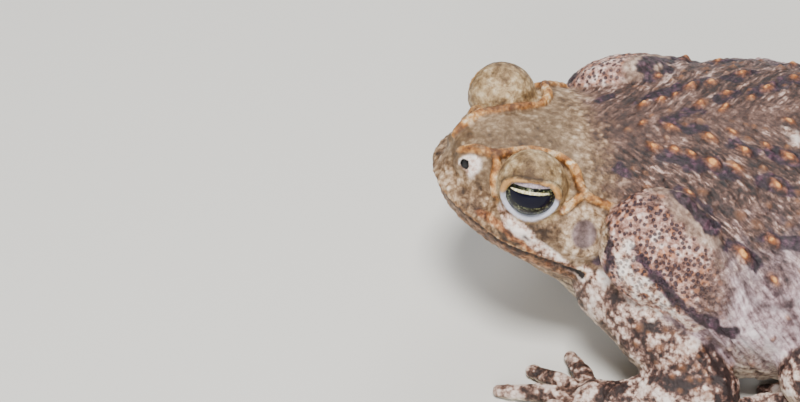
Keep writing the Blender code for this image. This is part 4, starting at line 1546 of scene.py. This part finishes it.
# %% The head's layers
# Tones of the painted shade on the side of the head
HEAD_SHADE_TONES = (
    (0.3, (54, 36, 22)), (0.45, (94, 70, 48)), (0.6, (136, 110, 82)), (0.75, (176, 150, 122)),
)
PALE_TONES = (
    (0.26, (108, 72, 54)), (0.38, (192, 154, 134)), (0.5, (234, 208, 194)), (0.64, (255, 242, 232)),
)
CREST_TONES = (
    (0.3, (96, 54, 20)), (0.46, (164, 104, 46)), (0.60, (212, 156, 90)), (0.76, (248, 226, 188)),
)
DRUM_TONES = ((0.3, (72, 54, 50)), (0.5, (122, 100, 98)), (0.7, (166, 144, 142)))


def head_layers(wire, grain, pores):
    """The cheek's streaks, crests, lips and ear drum, with painted shade and a painted highlight.
    """
    pale = (0.95 - pores * 0.6) * (grain.mid + grain.fine * 1.2).between(-0.28, -0.1)
    off_lid = 1 - masked(wire, "lid")
    return (
        # Painted shade on the side of the head, off the lids
        ("dusk", off_lid * 0.75, tones(grain.face, HEAD_SHADE_TONES)),
        ("brown", 0.9, tones(grain.speckle + 0.02, BROWN_TONES)),
        ("pale", pale, tones(grain.speckle + 0.04 + grain.mid * 1.1, PALE_TONES)),
        ("nostril_patch", 1, tones(grain.speckle + 0.1, PALE_TONES)),
        ("ridge", 0.4, tones(grain.calm - 0.1 + grain.mid * 0.5, CREST_TONES)),
        # The crests' own orange, lighter along their tops as a painted highlight
        ("ridge_top", 0.9, tones(grain.calm + 0.02 + grain.mid * 0.8, CREST_TONES)),
        ("lip", 0.85, tones(grain.speckle + grain.mid * 0.8, CREST_TONES)),
        # Painted shade under the lip
        ("chin", 0.6, tones(grain.speckle - 0.1, BROWN_TONES)),
        # Dark lines: blotches, painted shade in the folds by the ear drum and painted shadow under
        # the gland
        ("dark", 0.94, tones(grain.speckle, BLOTCH_AND_SHADE_TONES)),
        ("drum_ring", 0.8, tones(grain.speckle + 0.14 + grain.mid * 0.4, HEAD_TONES)),
        ("drum", 1, tones(0.52 + grain.mid + grain.fine * 0.8, DRUM_TONES)),
    )


# %% The edges' layers
RIM_TAN = (222, 166, 92)
RIM_GREY = (150, 134, 140)
RIM_WHITE = (206, 206, 220)
# Painted shade for the lids' creases, the flank's folds, the mouth's groove and the nostrils
GROOVE_SHADE = (26, 14, 12)
HOLE_SHADE = (8, 5, 5)


def edge_layers(wire, grain):
    """The lids' rims, with painted shade below the lower rims, in the creases, mouth and nostrils.
    """
    upper = masked(wire, "upper")
    tan = (0.7 + grain.fine * 1.5).mix(tone(*CONE_BROWN), tone(*RIM_TAN))
    return (
        # The upper lid's outer rim is its own tan; the lower lid's is a thin painted shade line in
        # grey
        ("outer_rim", 0.9, upper.mix(tone(*RIM_GREY), tan)),
        ("inner_rim", 0.95, upper.mix(tone(*RIM_WHITE), tone(*RIM_GREY))),
        # Painted shade in the crease over the upper lid, in the flank's folds, the mouth and the
        # nostrils
        ("crease", 0.7, tone(*GROOVE_SHADE)),
        ("folds", 0.5, tone(*GROOVE_SHADE)),
        ("groove", 1, tone(*GROOVE_SHADE)),
        ("nostril", 1, tone(*HOLE_SHADE)),
    )


# %% The skin's material
BUMP_HEIGHT = 0.0005
BUMP_STRENGTH = 0.9


def skin_material():
    material, shader, wire = new_material("toad_skin")
    grain = skin_grain(wire)
    colour = ground_colour(wire, grain)
    on_gland, pores = gland_layers(wire, grain)
    head = head_layers(wire, grain, pores)
    for layers in (on_gland, wart_layers(wire, grain), head, edge_layers(wire, grain)):
        colour = painted(wire, colour, layers)
    roughness = 0.52 - 0.12 * grain.granule + 0.25 * grain.fine
    height = grain.fine + grain.granule * 0.2 + grain.streaks * 0.8 - pores * 0.8
    sockets = {"Strength": BUMP_STRENGTH, "Distance": BUMP_HEIGHT, "Height": height}
    bump = wire.add("ShaderNodeBump", {}, sockets)
    for name, value in (("Base Color", colour), ("Roughness", roughness), ("Normal", bump)):
        wire.tree.links.new(value.socket, shader.inputs[name])
    shader.inputs["Specular IOR Level"].default_value = 0.5
    return material


skin.data.materials.clear()
skin.data.materials.append(skin_material())
print("skin nodes", len(skin.data.materials[0].node_tree.nodes))

# %% [markdown]
# ## The eyes
# Each eyeball is a true ball of its own, as deep in the head as a real one, with a slightly
# fuller cornea. Its own directions lie along the lids, up, and where it looks, so the iris can
# be painted from its local coordinates: a wide pupil with a flat top, a cream line above it, and
# a dark iris with green-gold flecks. The cream line is the iris's own gold line with a painted
# highlight of the sky in it, and the grey along the top is partly the lid's membrane and partly a
# painted reflection of the sky. The places are sagged towards the corners, so the line runs
# straight along the upper lid when it is seen from above. A clear coat makes it wet.

# %% Eyeballs
CORNEA_RISE = 0.28
CORNEA_ANGLE = 44.0
RINGS = 56
SIDES = 72
EYE_SHRINK = 0.03


def eyeball(name, side):
    shape = bmesh.new()
    rings = []
    for ring in range(1, RINGS):
        turn = math.pi * ring / RINGS
        raised = CORNEA_RISE * max(0, 1 - (math.degrees(turn) / CORNEA_ANGLE) ** 2) ** 1.5
        radius = EYE_RADIUS - EYE_SHRINK + raised - CORNEA_RISE * 0.5
        wide, out = radius * math.sin(turn), radius * math.cos(turn)
        spokes = [2 * math.pi * i / SIDES for i in range(SIDES)]
        places = [Vector((wide * math.cos(a), wide * math.sin(a), out)) for a in spokes]
        rings.append([shape.verts.new(place * MM) for place in places])
    for inner, outer in zip(rings, rings[1:]):
        for i in range(SIDES):
            j = (i + 1) % SIDES
            shape.faces.new((inner[i], outer[i], outer[j], inner[j]))
    shape.faces.new(rings[0])
    shape.faces.new(rings[-1][::-1])
    bmesh.ops.triangulate(shape, faces=[face for face in shape.faces if len(face.verts) > 4])
    bmesh.ops.recalc_face_normals(shape, faces=shape.faces)
    mesh = bpy.data.meshes.new(name)
    shape.to_mesh(mesh)
    shape.free()
    mesh.shade_smooth()
    made = new_object(name, mesh)
    tipped, up, out = gaze_axes(side).T
    turn = Matrix(np.column_stack((-side * tipped, up, out)).tolist()).to_4x4()
    made.matrix_world = Matrix.Translation(Vector(eye_middle(side)) * MM) @ turn
    return made


# %% The eye's material
PUPIL_HALF = 4.6
PUPIL_TOP = 2.1
PUPIL_HEIGHT = 3.4
LINE_RISE = 2.5
LINE_SHIFT = 0.2
LINE_LENGTH = 4.4
LINE_HALF = 0.32
IRIS_EDGE = (5.6, 6.1)
UPPER_EDGE = (3.45, 3.65)
SAG = 0.028
IRIS_DARK = (12, 14, 12)
FLECK_MOSS = (52, 60, 40)
FLECK_GOLD = (140, 142, 104)
LINE_STRAW = (206, 190, 130)
# Cream of a painted highlight of the sky in the gold line
LINE_HIGHLIGHT_CREAM = (250, 244, 214)
PUPIL_NAVY = (3, 4, 26)
EYE_EDGE = (14, 12, 14)
# Grey of the lid's membrane together with a painted reflection of the sky
VEIL_AND_SKY_GREY = (186, 172, 178)
# Sockets of the shader that are the same all over the eye
WET = {
    "Roughness": 0.4,
    "Specular IOR Level": 0.05,
    "Coat Weight": 0.55,
    "Coat Roughness": 0.03,
    "Coat IOR": 1.36,
}


def eye_shapes(wire, across, over):
    """Masks of the pupil, flat along its top, and of the line over it, which holds a painted
    highlight.
    """
    below = (PUPIL_TOP - over) / PUPIL_HEIGHT
    pupil = (wire.sum("ABSOLUTE", across) / PUPIL_HALF) ** 2.6 + wire.sum("ABSOLUTE", below) ** 2.2
    pupil = pupil.between(1.04, 0.96) * below.between(-0.03, 0.03)
    line = (wire.sum("ABSOLUTE", across + LINE_SHIFT) / LINE_LENGTH) ** 4
    line = line + (wire.sum("ABSOLUTE", over - LINE_RISE) / LINE_HALF) ** 2
    return pupil, line.between(1.15, 0.75)


def eye_material():
    material, shader, wire = new_material("toad_eye")
    place = wire.add("ShaderNodeTexCoord", output="Object")
    parts = wire.add("ShaderNodeSeparateXYZ", {}, {0: place}).socket.node
    across, over = (Wire(wire.tree, socket) * 1000 for socket in parts.outputs[:2])
    over = over + across * across * SAG
    pupil, line = eye_shapes(wire, across, over)
    flecks = noise(place, 900.0, 5.0, 0.5, 1.2).between(-0.02, 0.1)
    fine = noise(place, 2600.0, 3.0, 0.5).between(-0.1, 0.12)
    edge = wire.sum("SQRT", across * across + over * over).between(*IRIS_EDGE)
    fleck = fine.mix(tone(*FLECK_MOSS), tone(*FLECK_GOLD))
    colour = painted(wire, tone(*IRIS_DARK), (
        (flecks, 0.8, fleck),
        # The iris's own gold line, with a painted highlight of the sky in its cream
        (line, 1, fine.mix(tone(*LINE_STRAW), tone(*LINE_HIGHLIGHT_CREAM))),
        (pupil, 1, tone(*PUPIL_NAVY)),
        (edge, 1, tone(*EYE_EDGE)),
        # Along the top, grey that is partly the lid's membrane and partly a painted reflection of
        # the sky
        (over.between(*UPPER_EDGE), 1, fine.mix(tone(*RIM_GREY), tone(*VEIL_AND_SKY_GREY))),
    ))
    wire.tree.links.new(colour.socket, shader.inputs["Base Color"])
    for name, value in WET.items():
        shader.inputs[name].default_value = value
    return material


EYE_PAINT = eye_material()
eyes = [eyeball(name, side) for side, name in ((1, "eyeball_left"), (-1, "eyeball_right"))]
for eye in eyes:
    eye.data.materials.append(EYE_PAINT)
print("eyes across", round(2 * EYE_RADIUS, 1), "mm")

# %% [markdown]
# ## Joining the frame
# The plain solids stay behind for weight and contact, and those that a finished piece stands for
# are hidden. Each piece is also tied to the frame's one body. The skin stands for all the flesh,
# and each eyeball for one eye.

# %% Pieces on the frame
FLESH = [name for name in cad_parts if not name.startswith("eye")]
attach(skin, BODY)
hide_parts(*FLESH)
for eye, word in zip(eyes, ("left", "right")):
    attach(eye, BODY)
    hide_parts(f"eye_{word}")
print("solids stood for", len(FLESH) + 2)

# %% [markdown]
# ## Floor, light and camera
# The floor is plain and pale. A picture of a sky could light the toad, but its colours would
# tint the skin, so three square lamps are used: a strong one high in front, as an overcast sky,
# and weaker ones low in front and behind. The camera looks down on the toad's left side from 40
# degrees, close in, so that the head and the shoulder fill the frame.

# %% Floor
FLOOR_HALF = 3.0
FLOOR_PALE = (222, 220, 214)


def floor_object():
    shape = bmesh.new()
    bmesh.ops.create_grid(shape, x_segments=1, y_segments=1, size=FLOOR_HALF)
    mesh = bpy.data.meshes.new("floor")
    shape.to_mesh(mesh)
    shape.free()
    material, shader, _ = new_material("floor")
    shader.inputs["Base Color"].default_value = tone(*FLOOR_PALE)
    shader.inputs["Roughness"].default_value = 0.9
    mesh.materials.append(material)
    return new_object("floor", mesh)


floor = floor_object()
print("floor", 2 * FLOOR_HALF, "m across")


# %% Lights
# Each light's name, place, size, power and colour
LIGHTS = (
    ("key", (0.28, -0.12, 0.85), 0.24, 11.5, (1.0, 0.985, 0.96)),
    ("fill", (0.72, -0.2, 0.33), 0.3, 3.4, (0.95, 0.97, 1.0)),
    ("back", (-0.6, 0.2, 0.5), 0.4, 2.6, (0.97, 0.98, 1.0)),
)
LIT_PLACE = Vector((0, 0, 0.03))
SKY_COLOUR = (0.86, 0.9, 0.95, 1)
SKY_STRENGTH = 0.22


def soft_light(name, place, size, power, colour):
    """A square light that faces the toad."""
    light = bpy.data.lights.new(name, "AREA")
    light.energy = power
    light.size = size
    light.color = colour
    made = bpy.data.objects.new(name, light)
    bpy.context.scene.collection.objects.link(made)
    made.location = place
    made.rotation_euler = (Vector(place) - LIT_PLACE).to_track_quat("Z", "Y").to_euler()
    return made


for row in LIGHTS:
    soft_light(*row)
world = bpy.data.worlds.new("studio")
world.use_nodes = True
sky = world.node_tree.nodes["Background"]
sky.inputs["Color"].default_value = SKY_COLOUR
sky.inputs["Strength"].default_value = SKY_STRENGTH
bpy.context.scene.world = world
print("lights", len(LIGHTS), "of", sum(row[3] for row in LIGHTS), "watts in all")

# %% Camera
VIEW_AZIMUTH = 85.0
VIEW_ELEVATION = 40.0
VIEW_DISTANCE = 0.6
PIXELS_PER_MM = 4.355
EYES_IN_FRAME = (519.8, 145.3)
FRAME_SIZE = (800, 402)
FILM_WIDTH = 36.0


def camera_object():
    around = math.radians(VIEW_AZIMUTH)
    above = math.radians(VIEW_ELEVATION)
    level = math.cos(above)
    to_camera = Vector((math.sin(around) * level, -math.cos(around) * level, math.sin(above)))
    right = Vector((math.cos(around), math.sin(around), 0))
    up = to_camera.cross(right)
    across = (EYES_IN_FRAME[0] - FRAME_SIZE[0] / 2) / PIXELS_PER_MM * MM
    over = (FRAME_SIZE[1] / 2 - EYES_IN_FRAME[1]) / PIXELS_PER_MM * MM
    target = Vector(BETWEEN_EYES) * MM - right * across - up * over
    camera = bpy.data.cameras.new("camera")
    camera.sensor_width = FILM_WIDTH
    camera.lens = FILM_WIDTH * VIEW_DISTANCE / (FRAME_SIZE[0] / PIXELS_PER_MM * MM)
    camera.clip_start = 0.02
    camera.clip_end = 20
    made = bpy.data.objects.new("camera", camera)
    bpy.context.scene.collection.objects.link(made)
    turn = Matrix((right, up, to_camera)).transposed().to_4x4()
    made.matrix_world = Matrix.Translation(target + to_camera * VIEW_DISTANCE) @ turn
    return made


camera = camera_object()
bpy.context.scene.camera = camera
print("lens", round(camera.data.lens, 1), "mm")
